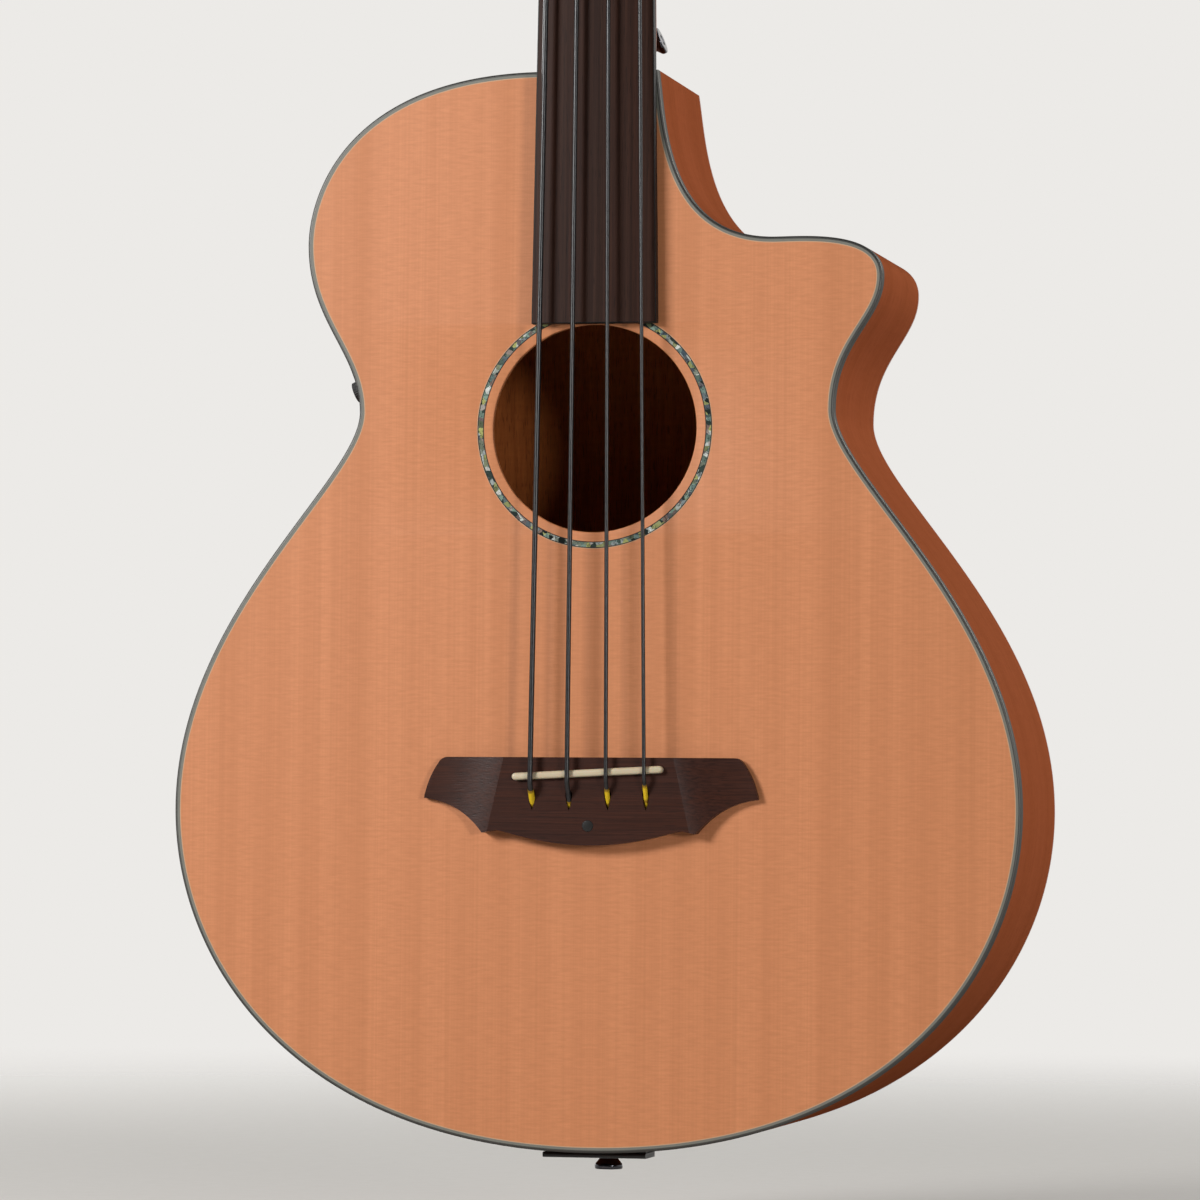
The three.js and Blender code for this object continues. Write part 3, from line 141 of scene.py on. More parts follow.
def add_node(
    tree: Tree, kind: str, values: dict | None = None, links: dict | None = None, output: int | str = 0,
    stops: Sequence[tuple[float, str]] = (), **settings: object
) -> Socket | None:
    """Adds a shader node.

    Args:
        tree: The material's or the world's node tree.
        kind: The node's type, without its ShaderNode prefix.
        values: Socket values by name or number.
        links: The output that feeds each linked socket.
        output: The name or number of the output that is returned.
        stops: Places and hex colours of a colour ramp.
        settings: The node's own settings.

    Returns:
        The new node's output, or None where the node has none.
    """
    node = tree.nodes.new("ShaderNode" + kind)
    for name, value in settings.items():
        setattr(node, name, value)
    for socket, value in (values or {}).items():
        node.inputs[socket].default_value = value
    for socket, source in (links or {}).items():
        tree.links.new(source, node.inputs[socket])
    if stops:
        elements = node.color_ramp.elements
        elements[0].position, elements[0].color = stops[0][0], linear(stops[0][1])
        elements[1].position, elements[1].color = stops[-1][0], linear(stops[-1][1])
        for place, colour in stops[1:-1]:
            elements.new(place).color = linear(colour)
    return node.outputs[output] if node.outputs else None


def emptied(owner: bpy.types.Material | bpy.types.World) -> Tree:
    """Returns the owner's node tree without its nodes."""
    owner.use_nodes = True
    owner.node_tree.nodes.clear()
    return owner.node_tree


class Grain(Enum):
    """The axis that a wood's grain runs along."""

    X = 0
    Y = 1
    Z = 2


@dataclass(frozen=True)
class Finish:
    """A surface finish. Subclasses shade their own material."""

    name: str
    roughness: float = 0.45
    roughness_spread: float = 0.08
    bump: float = 0.1
    specular: float = 0.5
    sheen: str = "#C88A5E"
    sheen_share: float = 0.0
    sheen_roughness: float = 0.42

    def material(self) -> bpy.types.Material:
        """Returns the finish's material, made at its first use."""
        made = bpy.data.materials.get(self.name)
        if not made:
            made = bpy.data.materials.new(self.name)
            tree = emptied(made)
            surface = self.lacquered(tree, add_node(tree, "BsdfPrincipled", *self.sockets(tree)))
            add_node(tree, "OutputMaterial", links={"Surface": surface})
        return made

    def sockets(self, tree: Tree) -> tuple[dict, dict]:
        """Returns the shader's values and links."""
        raise NotImplementedError

    def skin(
        self, tree: Tree, pattern: Socket, height: Socket, deep_mm: float = 0.1, **settings: bool
    ) -> dict:
        """Makes a gloss that wanders by its spread, and a relief.

        Args:
            tree: The material's node tree.
            pattern: What the gloss wanders with.
            height: What the relief follows.
            deep_mm: The relief's depth.
            settings: The bump node's own settings.

        Returns:
            The shader's links for both.
        """
        rough, spread = self.roughness, self.roughness_spread
        ends = {"To Min": rough - spread, "To Max": rough + spread}
        gloss = add_node(tree, "MapRange", ends, {"Value": pattern})
        relief = {"Strength": self.bump, "Distance": deep_mm * MM}
        return {
            "Roughness": gloss, "Normal": add_node(tree, "Bump", relief, {"Height": height}, **settings)
        }

    def lacquered(self, tree: Tree, shader: Socket) -> Socket:
        """Returns the shader under the even sheen of a lacquer, where the finish has one."""
        if not self.sheen_share:
            return shader
        settings = {"Color": linear(self.sheen), "Roughness": self.sheen_roughness}
        lacquer = add_node(tree, "BsdfAnisotropic", settings)
        return add_node(tree, "MixShader", {0: self.sheen_share}, {1: shader, 2: lacquer})


@dataclass(frozen=True)
class Wood(Finish):
    """Wood sawn so that its growth lines run straight along the piece.

    Fine lines lie line_mm apart and run for run_mm, bands of tone are band_mm wide, and short flecks
    cross the grain. Open-pored woods also show pores as short dark dashes.
    """

    light: str = "#D39670"
    dark: str = "#B87A52"
    band: str = "#B9784F"
    line_mm: float = 1.4
    run_mm: float = 260.0
    band_mm: float = 24.0
    line_share: float = 0.5
    band_share: float = 0.5
    fleck_mm: float = 2.2
    fleck_share: float = 0.2
    pore_share: float = 0.0
    pore_mm: float = 0.55
    pore_run_mm: float = 9.0
    pore_colour: str = "#3A1A0E"
    grain: Grain = Grain.Z
    bookmatched: bool = False
    along_uv: bool = False

    def spread(self, across: float, along: float) -> Vector:
        """Returns a mapping scale for features of a size across and along the grain."""
        scale = Vector((1 / (across * MM),) * 3)
        scale[self.grain.value] = 1 / (along * MM)
        return scale

    def sockets(self, tree: Tree) -> tuple[dict, dict]:
        """Returns the shader's values and links."""
        source = add_node(tree, "TexCoord", output="UV" if self.along_uv else "Object")
        if self.bookmatched:
            source = add_node(tree, "VectorMath", {}, {0: source}, operation="ABSOLUTE")
        # Each layer's size across and along the grain, detail, roughness, range, share and colour
        layers = [
            (self.band_mm, self.run_mm * 4, 3.0, 0.55, 0.38, 0.66, self.band_share, self.band),
            (self.line_mm, self.run_mm, 2.0, 0.6, 0.32, 0.68, self.line_share, self.dark),
            (self.fleck_mm * 6, self.fleck_mm, 3.0, 0.6, 0.35, 0.7, self.fleck_share, self.dark),
            (self.pore_mm, self.pore_run_mm, 1.0, 0.5, 0.58, 0.72, self.pore_share, self.pore_colour)
        ]
        values: dict = {MIX_A: linear(self.light)}
        under: dict = {}
        patterns, tones = [], []
        for across, along, detail, rough, low, high, share, colour in layers[: 4 if self.pore_share else 3]:
            links = {
                "Vector": add_node(tree, "Mapping", {"Scale": self.spread(across, along)}, {0: source})
            }
            settings = {"Scale": 1.0, "Detail": detail, "Roughness": rough}
            patterns.append(add_node(tree, "TexNoise", settings, links))
            settings = {"From Min": low, "From Max": high, "To Max": share}
            tones.append(add_node(tree, "MapRange", settings, {"Value": patterns[-1]}))
            values[MIX_B] = linear(colour)
            mixed = add_node(tree, "Mix", values, {0: tones[-1], **under}, MIX_RESULT, data_type="RGBA")
            values, under = {}, {MIX_A: mixed}
        height = tones[1]
        if self.pore_share:
            height = add_node(tree, "Math", {}, {0: height, 1: tones[-1]}, operation="ADD")
        skin = self.skin(tree, patterns[0], height, invert=True)
        return {"IOR": 1.5, "Specular IOR Level": self.specular}, {"Base Color": mixed, **skin}


@dataclass(frozen=True)
class Plastic(Finish):
    """Moulded or cast plastic: even colour with a faint cloudiness and a fine skin."""

    colour: str = "#151413"
    cloud: str = "#1D1C1B"
    roughness: float = 0.3
    roughness_spread: float = 0.06
    bump: float = 0.05
    cloud_mm: float = 9.0
    skin_mm: float = 0.9
    subsurface: float = 0.0
    ior: float = 1.5

    def sockets(self, tree: Tree) -> tuple[dict, dict]:
        """Returns the shader's values and links."""
        links = {"Vector": add_node(tree, "TexCoord", output="Object")}
        clouds, grit = (
            add_node(tree, "TexNoise", {"Scale": 1 / (size * MM), "Detail": detail}, links) for size,
            detail in ((self.cloud_mm, 3.0), (self.skin_mm, 2.0))
        )
        values = {MIX_A: linear(self.colour), MIX_B: linear(self.cloud)}
        colour = add_node(tree, "Mix", values, {0: clouds}, MIX_RESULT, data_type="RGBA")
        values = {"IOR": self.ior, "Specular IOR Level": self.specular}
        values.update({"Subsurface Weight": self.subsurface, "Subsurface Scale": MM})
        return values, {"Base Color": colour, **self.skin(tree, clouds, grit)}


@dataclass(frozen=True)
class Metal(Finish):
    """Plated or drawn metal, with faint polishing marks across its gloss."""

    colour: str = "#D9DBDD"
    roughness: float = 0.12
    roughness_spread: float = 0.05
    marks_mm: float = 0.8
    bump: float = 0.03

    def sockets(self, tree: Tree) -> tuple[dict, dict]:
        """Returns the shader's values and links."""
        settings = {"Scale": 1 / (self.marks_mm * MM), "Detail": 4.0}
        marks = add_node(
            tree, "TexNoise", settings, {"Vector": add_node(tree, "TexCoord", output="Object")}
        )
        return {"Base Color": linear(self.colour), "Metallic": 1.0}, self.skin(tree, marks, marks, 0.05)


@dataclass(frozen=True)
class Shell(Finish):
    """Polished shell: small flakes of green, blue, silver and gold between dark growth lines."""

    roughness: float = 0.18
    flake_mm: float = 2.6
    sway_mm: float = 1.6
    line_mm: float = 1.5
    line_colour: str = "#26302F"
    flakes: tuple[tuple[float, str], ...] = (
        (0.0, "#171E1E"), (0.14, "#3E4C46"), (0.28, "#8FA898"), (0.38, "#4B5A64"), (0.5, "#DFE6DE"),
        (0.6, "#5F674F"), (0.7, "#B9BC74"), (0.8, "#56636F"), (0.9, "#857066"), (1.0, "#F0F4EC")
    )

    def sockets(self, tree: Tree) -> tuple[dict, dict]:
        """Returns the shader's values and links."""
        source = add_node(tree, "TexCoord", output="Object")
        flake = 1 / (self.flake_mm * MM)
        sway = add_node(tree, "TexNoise", {"Scale": flake, "Detail": 2.0}, {"Vector": source}, "Color")
        swayed = add_node(tree, "VectorMath", {3: self.sway_mm * MM}, {0: sway}, operation="SCALE")
        place = {"Vector": add_node(tree, "VectorMath", {}, {0: source, 1: swayed}, operation="ADD")}
        cells = add_node(tree, "TexVoronoi", {"Scale": flake}, place, "Color")
        tone = add_node(tree, "SeparateColor", {}, {0: cells})
        colour = add_node(tree, "ValToRGB", {}, {0: tone}, stops=self.flakes)
        settings = {"Scale": 1 / (self.line_mm * MM), "Detail": 3.0, "Roughness": 0.7, "Distortion": 1.2}
        streaks = add_node(tree, "TexNoise", settings, place)
        settings = {"From Min": 0.52, "From Max": 0.62, "To Max": 0.8}
        links = {0: add_node(tree, "MapRange", settings, {"Value": streaks}), MIX_A: colour}
        shown = add_node(
            tree, "Mix", {MIX_B: linear(self.line_colour)}, links, MIX_RESULT, data_type="RGBA"
        )
        return {"Roughness": self.roughness, "IOR": 1.6}, {"Base Color": shown}


@dataclass(frozen=True)
class Wound(Finish):
    """A string's winding: flat tape or thread laid side by side, pitch_mm wide, along the string."""

    colour: str = "#2A2A2C"
    gap_colour: str = "#101011"
    pitch_mm: float = 0.9
    roughness: float = 0.3
    bump: float = 0.4
    lumpy: float = 0.0

    def sockets(self, tree: Tree) -> tuple[dict, dict]:
        """Returns the shader's values and links."""
        settings = {"Scale": 1 / (20 * self.pitch_mm * MM), "Distortion": self.lumpy}
        links = {"Vector": add_node(tree, "TexCoord", output="UV")}
        wave = add_node(tree, "TexWave", settings, links, 1, bands_direction="X")
        stops = ((0.0, self.gap_colour), (0.25, self.colour), (1.0, self.colour))
        colour = add_node(tree, "ValToRGB", {}, {0: wave}, stops=stops)
        relief = {"Strength": self.bump, "Distance": 0.1 * MM}
        links = {"Base Color": colour, "Normal": add_node(tree, "Bump", relief, {"Height": wave})}
        return {"Roughness": self.roughness, "Specular IOR Level": self.specular}, links


# Cedar, quartersawn, bookmatched and satin lacquered: fine straight lines, broad soft bands, faint
# flecks across the grain, and a soft sheen.
CEDAR = Wood(
    "cedar_quartersawn_satin", light="#E19363", dark="#B86F40", band="#CA7F4F", line_mm=1.1, run_mm=300.0,
    band_mm=14.0, line_share=0.2, fleck_mm=1.3, fleck_share=0.34, roughness=0.5, bookmatched=True
)
# Mahogany ribs, bent and satin lacquered: red brown with fine pores along the rib.
MAHOGANY_RIB = Wood(
    "mahogany_bent_satin", light="#A85937", dark="#7B3B21", band="#904827", line_mm=2.4, run_mm=160.0,
    band_mm=34.0, line_share=0.2, band_share=0.45, fleck_mm=3.0, fleck_share=0.12, pore_share=0.28,
    roughness=0.42, specular=0.0, sheen_share=0.05, grain=Grain.X, along_uv=True
)
# The bookmatched mahogany back, satin lacquered.
MAHOGANY_BACK = Wood(
    "mahogany_bookmatched_satin", light="#AA5730", dark="#7E3A1C", band="#924622", line_mm=2.6,
    run_mm=220.0, band_mm=30.0, line_share=0.4, band_share=0.7, fleck_mm=4.0, fleck_share=0.15,
    pore_share=0.3, roughness=0.42, bookmatched=True
)
# The carved mahogany neck, satin lacquered.
MAHOGANY_NECK = Wood(
    "mahogany_carved_satin", light="#9C5636", dark="#763C24", band="#87472B", line_mm=2.2, run_mm=240.0,
    band_mm=18.0, line_share=0.4, band_share=0.6, pore_share=0.3, specular=0.3
)
# Mahogany blocks, sawn and left raw.
MAHOGANY_RAW = Wood(
    "mahogany_sawn_raw", light="#C87238", dark="#944C22", band="#AE6230", line_mm=2.0, band_mm=9.0,
    pore_share=0.45, roughness=0.8, specular=0.1
)
# Spruce braces and linings, planed and left raw: pale straw with close lines.
SPRUCE = Wood(
    "spruce_planed_raw", light="#DDBB88", dark="#BF955E", band="#D0A874", line_mm=1.2, line_share=0.6,
    roughness=0.7, grain=Grain.X
)
# Rosewood fingerboard, oiled: almost black brown with redder streaks and open pores.
ROSEWOOD_BOARD = Wood(
    "rosewood_oiled_board", light="#3F2A22", dark="#211310", band="#43261B", line_mm=1.5, run_mm=150.0,
    band_mm=9.0, line_share=0.6, band_share=0.7, fleck_share=0.05, pore_share=0.5, pore_colour="#1A110E",
    roughness=0.42, specular=0.14
)
# Rosewood bridge, shaped and buffed: the grain runs across the instrument.
ROSEWOOD_BRIDGE = Wood(
    "rosewood_buffed_bridge", light="#442820", dark="#22120E", band="#4A2414", line_mm=1.0, run_mm=60.0,
    band_mm=9.0, line_share=0.6, band_share=0.7, fleck_share=0.05, pore_share=0.4, pore_colour="#1A110E",
    roughness=0.38, specular=0.2, bump=0.3, grain=Grain.X
)
# The headstock's rosewood face veneer, satin lacquered.
ROSEWOOD_VENEER = Wood(
    "rosewood_satin_veneer", light="#4A352D", dark="#2A1D18", band="#513226", line_mm=1.6, band_mm=12.0,
    line_share=0.6, band_share=0.7, roughness=0.3
)
# Celluloid binding, scraped and polished: black with a wet gloss.
BINDING_BLACK = Plastic(
    "celluloid_polished_black", colour="#0D0D0C", cloud="#121211", bump=0.02, specular=0.0, sheen="#E4E2DC",
    sheen_share=0.12, sheen_roughness=0.48
)
# The fingerboard's edging, dyed wood scraped level: black with a low gloss.
EDGING_BLACK = Plastic(
    "dyed_wood_scraped_black", colour="#161413", cloud="#1E1B19", roughness=0.45, specular=0.2
)
# Painted reflection: a mid grey band beside the black binding, standing for the grey that the binding's
# glossy flat top reflects.
PAINTED_REFLECTION_GREY = Plastic("fibre_lacquered_grey", colour="#75756B", cloud="#84837A", roughness=0.4)
# A hairline of maple between the grey band and the cedar: pale peach.
PLY_PALE = Plastic("maple_hairline_pale", colour="#CDA07A", cloud="#D6AC88", roughness=0.5)
# The rosette's edge lines: black fibre.
LINE_DARK = Plastic("fibre_line_black", colour="#141312", cloud="#1C1A18", roughness=0.35)
SHELL = Shell("shell_polished")
# Bone, sawn and buffed: warm ivory with a soft inner glow.
BONE = Plastic("bone_buffed", colour="#CFBE9C", cloud="#DCCDB0", roughness=0.35, subsurface=0.15, ior=1.54)
# Nylon tape wound flat round the strings: satin black.
TAPE = Wound(
    "nylon_tape_wound", colour="#1B1B1D", gap_colour="#0E0E0F", roughness=0.34, bump=0.12, specular=0.6
)
# Silk thread wound over the strings' ends: bright yellow.
SILK = Wound(
    "silk_thread_wound", colour="#F0C81C", gap_colour="#9A7410", pitch_mm=1.3, roughness=0.6, bump=0.6,
    lumpy=2.0
)
# Nickel and chrome plate over brass, polished: a clear mirror.
CHROME = Metal("chrome_plated_polished", roughness=0.09, roughness_spread=0.03)
# Chrome plate on the strap buttons, polished, with its colour darkened as a painted reflection of dim
# surroundings: a dark mirror with small bright glints.
CHROME_DARK_PAINTED_REFLECTION = Metal("black_chrome_plated_polished", colour="#4A4A4E", roughness=0.1, roughness_spread=0.03)
# Drawn and turned steel, left bright.
STEEL = Metal("steel_turned_bright", colour="#A9ABAE", roughness=0.3)
# ABS mouldings with a fine matt texture.
ABS_BLACK = Plastic("abs_moulded_matt_black", colour="#141414", cloud="#1B1B1B", roughness=0.45, bump=0.2)
# Knobs of soft-touch rubber over plastic.
KNOB_BLACK = Plastic("rubber_moulded_black", colour="#101010", cloud="#171717", roughness=0.55, bump=0.15)
# A battery's painted steel case.
BATTERY_CASE = Plastic("steel_painted_grey", colour="#33363B", cloud="#3B3F45", roughness=0.35)


# Meshes


def placed(name: str, data: bpy.types.ID) -> Object:
    """Returns a new object in the scene."""
    obj = bpy.data.objects.new(name, data)
    bpy.context.scene.collection.objects.link(obj)
    return obj


def make_mesh(
    name: str, points: Sequence[Vector], faces: Sequence[Sequence[int]], place: Matrix = IDENTITY,
    uvs: Profile | None = None, sharp_degrees: float = 35.0
) -> Object:
    """Makes an object from points in millimetres.

    Args:
        name: The object's name.
        points: Vertices.
        faces: Vertex numbers of each face.
        place: A frame that the points are drawn in.
        uvs: One UV place for each vertex, in millimetres.
        sharp_degrees: Edges that turn more than this are shaded sharp.

    Returns:
        The object, with its place in its vertices, in metres.
    """
    mesh = bpy.data.meshes.new(name)
    mesh.from_pydata([(place @ point) * MM for point in points], [], faces)
    if uvs:
        layer = mesh.uv_layers.new(name="grain")
        for loop in mesh.loops:
            u, v = uvs[loop.vertex_index]
            layer.data[loop.index].uv = (u * MM, v * MM)
    made = bmesh.new()
    made.from_mesh(mesh)
    bmesh.ops.remove_doubles(made, verts=made.verts, dist=0.0005 * MM)
    bmesh.ops.recalc_face_normals(made, faces=made.faces)
    made.to_mesh(mesh)
    made.free()
    obj = placed(name, mesh)
    shade(obj, sharp_degrees)
    return obj


def shade(obj: Object, sharp_degrees: float) -> None:
    """Shades a mesh smooth except where it turns more than an angle."""
    obj.data.polygons.foreach_set("use_smooth", [True] * len(obj.data.polygons))
    obj.data.set_sharp_from_angle(angle=math.radians(sharp_degrees))


def bevelled(obj: Object, width: float, degrees: float = 40.0) -> Object:
    """Rounds an object's edges, joining split vertices first.

    Args:
        obj: The object.
        width: The rounding's width in millimetres.
        degrees: Edges that turn less than this stay.

    Returns:
        The same object.
    """
    weld = obj.modifiers.new("weld", "WELD")
    weld.merge_threshold = 0.01 * MM
    bevel = obj.modifiers.new("edges", "BEVEL")
    bevel.width = width * MM
    bevel.segments = 2
    bevel.limit_method = "ANGLE"
    bevel.angle_limit = math.radians(degrees)
    bevel.use_clamp_overlap = True
    bevel.miter_outer = "MITER_ARC"
    return obj


def settled(obj: Object, sharp_degrees: float = 35.0) -> Object:
    """Applies an object's modifiers to its mesh and shades it again."""
    graph = bpy.context.evaluated_depsgraph_get()
    mesh = bpy.data.meshes.new_from_object(obj.evaluated_get(graph))
    obj.modifiers.clear()
    old = obj.data
    obj.data = mesh
    mesh.name = old.name
    bpy.data.meshes.remove(old)
    shade(obj, sharp_degrees)
    return obj


def carved(obj: Object, tools: Sequence[Object], joined: bool = False) -> Object:
    """Cuts tools out of an object, or joins them to it, and removes them.

    Args:
        obj: The object that is cut.
        tools: Closed meshes.
        joined: Joins the tools instead.

    Returns:
        The same object.
    """
    for tool in tools:
        step = obj.modifiers.new("cut", "BOOLEAN")
        step.operation = "UNION" if joined else "DIFFERENCE"
        step.solver = "EXACT"
        step.object = tool
    settled(obj)
    for tool in tools:
        bpy.data.objects.remove(tool)
    return obj


def loft_faces(rings: int, across: int, around: bool, along: bool) -> list[tuple[int, ...]]:
    """Lists the quads between rings of vertices.

    Args:
        rings: How many rings there are.
        across: Vertices in each ring.
        around: Each ring closes on itself.
        along: The last ring meets the first.

    Returns:
        Vertex numbers of each face.
    """
    faces = []
    for i in range(rings if along else rings - 1):
        near = i * across
        far = (i + 1) % rings * across
        for j in range(across if around else across - 1):
            k = (j + 1) % across
            faces.append((near + j, near + k, far + k, far + j))
    return faces


def loft(name: str, rings: Sequence[Ring], along: bool = False, **settings: object) -> Object:
    """Skins closed rings of equal length, and closes the ends.

    Args:
        name: The object's name.
        rings: Rings of points.
        along: The last ring meets the first, as on a hoop.
        settings: Passed to make_mesh.

    Returns:
        The object.
    """
    across = len(rings[0])
    faces = loft_faces(len(rings), across, True, along)
    if not along:
        last = (len(rings) - 1) * across
        faces += [tuple(range(across)), tuple(range(last, last + across))]
    return make_mesh(name, sum(rings, []), faces, **settings)


def signed_area(loop: Loop) -> float:
    """Returns a flat loop's area, positive when it runs anticlockwise."""
    return sum(a.x * b.y - b.x * a.y for a, b in zip(loop, loop[1:] + loop[:1])) / 2


def inset(loop: Loop, distance: float) -> Loop:
    """Moves a flat closed loop to its left by a distance, mitring its corners."""

    def left(a: Vector, b: Vector) -> Vector:
        return Vector((a.y - b.y, b.x - a.x)).normalized()

    moved = []
    for before, point, after in zip(loop[-1:] + loop[:-1], loop, loop[1:] + loop[:1]):
        first = left(before, point)
        middle = (first + left(point, after)).normalized()
        moved.append(point + middle * (distance / max(0.3, middle.dot(first))))
    return moved


def bent(start: Vector, corner: Vector, end: Vector, steps: int) -> list[Vector]:
    """Returns the points of a round bend at a corner, with its start and end."""
    shares = [k / steps for k in range(steps + 1)]
    return [start * (1 - t) ** 2 + corner * (2 * t * (1 - t)) + end * t**2 for t in shares]


def rounding(radius: float, steps: int) -> Pairs:
    """Returns inset and depth pairs that round an edge, from its side over to its face."""
    return [(radius * (1 - math.cos(a)), radius * (1 - math.sin(a))) for a in angles(QUARTER, steps)]


def mirror(half: Loop) -> Loop:
    """Returns the other half of a flat outline, in the order that closes it."""
    return [Vector((-p.x, p.y)) for p in half[::-1]]


def rectangle(half: float, low: float, high: float) -> Loop:
    """Returns a flat rectangle's corners, anticlockwise."""
    return [Vector((-half, low)), Vector((half, low)), Vector((half, high)), Vector((-half, high))]


def bezier(start: Place, first: Place, second: Place, end: Place, spacing: float) -> Loop:
    """Returns a flat cubic curve's points after its start, about a spacing apart."""
    a, b, c, d = (Vector(p) for p in (start, first, second, end))
    steps = max(4, round(((a - b).length + (b - c).length + (c - d).length) / spacing))
    points = []
    for t in spaced(0, 1, steps)[1:]:
        s = 1 - t
        points.append(a * s**3 + b * (3 * s * s * t) + c * (3 * s * t * t) + d * t**3)
    return points


def quadratic(start: Place, pull: Place, end: Place, spacing: float) -> Loop:
    """Returns the points, after its start, of a flat curve that one handle pulls."""
    a, b, c = (Vector(p) for p in (start, pull, end))
    return bezier(a, a.lerp(b, 2 / 3), c.lerp(b, 2 / 3), c, spacing)


def circle(x: float, z: float, radius: float, steps: int) -> Loop:
    """Returns a flat circle's points, anticlockwise."""
    turns = angles(WHOLE, steps)[:-1]
    return [Vector((x + radius * math.cos(a), z + radius * math.sin(a))) for a in turns]


def filleted(points: Profile, radius: float, steps: int, closed: bool) -> Loop:
    """Rounds the corners of a flat outline.

    Args:
        points: The outline's corners.
        radius: How far each rounding reaches along its sides, at most half of a side.
        steps: Chords in each rounding.
        closed: The outline closes on itself; open ends are kept.

    Returns:
        The rounded outline.
    """
    corners = [Vector(p) for p in points]
    last = len(corners) - 1
    made: Loop = []
    for i, corner in enumerate(corners):
        if not closed and i in (0, last):
            made.append(corner)
            continue
        before, after = corners[i - 1], corners[(i + 1) % len(corners)]
        start = corner + (before - corner).normalized() * min(radius, (before - corner).length * 0.49)
        end = corner + (after - corner).normalized() * min(radius, (after - corner).length * 0.49)
        made += bent(start, corner, end, steps)
    return made


def rim_steps(front: float, back: float, radius: float, steps: int = 4) -> Pairs:
    """Returns inset and depth pairs that round a plate's rim between its two faces."""
    if not radius:
        return [(0.0, front), (0.0, back)]
    edge = rounding(radius, steps)
    fore = [(down, front + across) for across, down in edge]
    return fore + [(across, back - down) for across, down in edge]


def plate(
    name: str, outer: Loop, front: float, back: float, holes: Sequence[Loop] = (), rim: float = 0.0,
    hole_rim: float = 0.0, place: Matrix = IDENTITY, **settings: object
) -> Object:
    """Makes a flat plate with rounded rims, drawn in X and Z between two values of Y.

    Args:
        name: The object's name.
        outer: The outline.
        front: Y of the front face.
        back: Y of the back face.
        holes: Outlines of holes.
        rim: Radius of the outline's rounding.
        hole_rim: Radius of the holes' rounding.
        place: A frame that the plate is drawn in.
        settings: Passed to make_mesh.

    Returns:
        The object.
    """
    points: list[Vector] = []
    faces: list[tuple[int, ...]] = []
    ends: list[list[tuple[int, Vector]]] = [[], []]
    end_loops: list[list[Loop]] = [[], []]
    for loop, radius, sense in [(outer, rim, 1)] + [(hole, hole_rim, -1) for hole in holes]:
        run = loop if signed_area(loop) * sense > 0 else loop[::-1]
        rings = [
            (inset(run, distance) if distance else run, y) for distance, y in rim_steps(front, back, radius)
        ]
        start = len(points)
        for ring, y in rings:
            points += [Vector((p.x, y, p.y)) for p in ring]
        faces += [tuple(start + i for i in f) for f in loft_faces(len(rings), len(run), True, False)]
        for side, number in ((0, 0), (1, len(rings) - 1)):
            first = start + number * len(run)
            ends[side] += [(first + i, p) for i, p in enumerate(rings[number][0])]
            end_loops[side].append([Vector((p.x, p.y, 0)) for p in rings[number][0]])
    for side in (0, 1):
        for triangle in tessellate_polygon(end_loops[side]):
            faces.append(tuple(ends[side][i][0] for i in triangle))
    return make_mesh(name, points, faces, place, **settings)


def lathe(
    name: str, corners: Profile, edge: float, steps: int = 48, place: Matrix = IDENTITY, arc: int = 3,
    reach: Callable[[float, float, float], float] | None = None, **settings: object
) -> Object:
    """Turns a profile with rounded corners round the Y axis.

    Args:
        name: The object's name.
        corners: Radius and height pairs, which start and end on the axis or close on themselves.
        edge: How far each rounding reaches along its sides.
        steps: Steps of the turn.
        place: A frame that the piece is drawn in.
        arc: Chords in each rounding.
        reach: Gives a change of radius for a point's radius, height and angle.
        settings: Passed to make_mesh.

    Returns:
        The object.
    """
    closes = corners[0][0] > 0
    profile = filleted(corners, edge, arc, closes)
    rings = []
    for angle in angles(WHOLE, steps)[:-1]:
        ring = []
        for p in profile:
            far = p.x + (reach(p.x, p.y, angle) if reach and p.x else 0.0)
            ring.append(Vector((far * math.cos(angle), p.y, far * math.sin(angle))))
        rings.append(ring)
    faces = loft_faces(steps, len(profile), closes, True)
    return make_mesh(name, sum(rings, []), faces, place, **settings)


def tube(name: str, route: Sequence[Vector], radius: float, sides: int = 16) -> Object:
    """Makes a closed round tube along a route, with its length as U.

    Args:
        name: The object's name.
        route: Points of the centre line.
        radius: The tube's radius.
        sides: Sides of its section.

    Returns:
        The object.
    """
    rings: list[Ring] = []
    uvs: Pairs = []
    across = Vector((1, 0, 0))
    travelled = 0.0
    for i, point in enumerate(route):
        before = route[max(0, i - 1)]
        after = route[min(len(route) - 1, i + 1)]
        along = (after - before).normalized()
        across = (across - along * across.dot(along)).normalized()
        other = along.cross(across)
        travelled += (point - before).length
        turns = angles(WHOLE, sides)[:-1]
        rings.append([point + (across * math.cos(a) + other * math.sin(a)) * radius for a in turns])
        uvs += [(travelled, a * radius) for a in turns]
    return loft(name, rings, uvs=uvs)


def paint(obj: Object, finish: Finish) -> None:
    """Gives an object one finish."""
    obj.data.materials.clear()
    obj.data.materials.append(finish.material())


def fit(obj: Object, finish: Finish, slot: str, *nodes: str, body: str = ROOT) -> Object:
    """Dresses a piece and seats it on the frame.

    Args:
        obj: The piece.
        finish: Its finish.
        slot: The record's material slot; not used.
        nodes: The solids that the piece stands for.
        body: The body that it moves with.

    Returns:
        The same object.
    """
    paint(obj, finish)
    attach(obj, body)
    if nodes:
        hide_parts(*nodes)
    log.info("%s rides on %s", obj.name, body)
    return obj


def dress(node: str, finish: Finish, edge: float = 0.4) -> None:
    """Gives a solid that stays in view its finish and softened edges.

    Args:
        node: The solid's name.
        finish: Its finish.
        edge: Width of the edge rounding in millimetres, or zero.
    """
    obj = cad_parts[node]
    paint(obj, finish)
    if edge:
        bevelled(obj, edge)
    log.info("%s stays, in %s", node, finish.name)


# The body


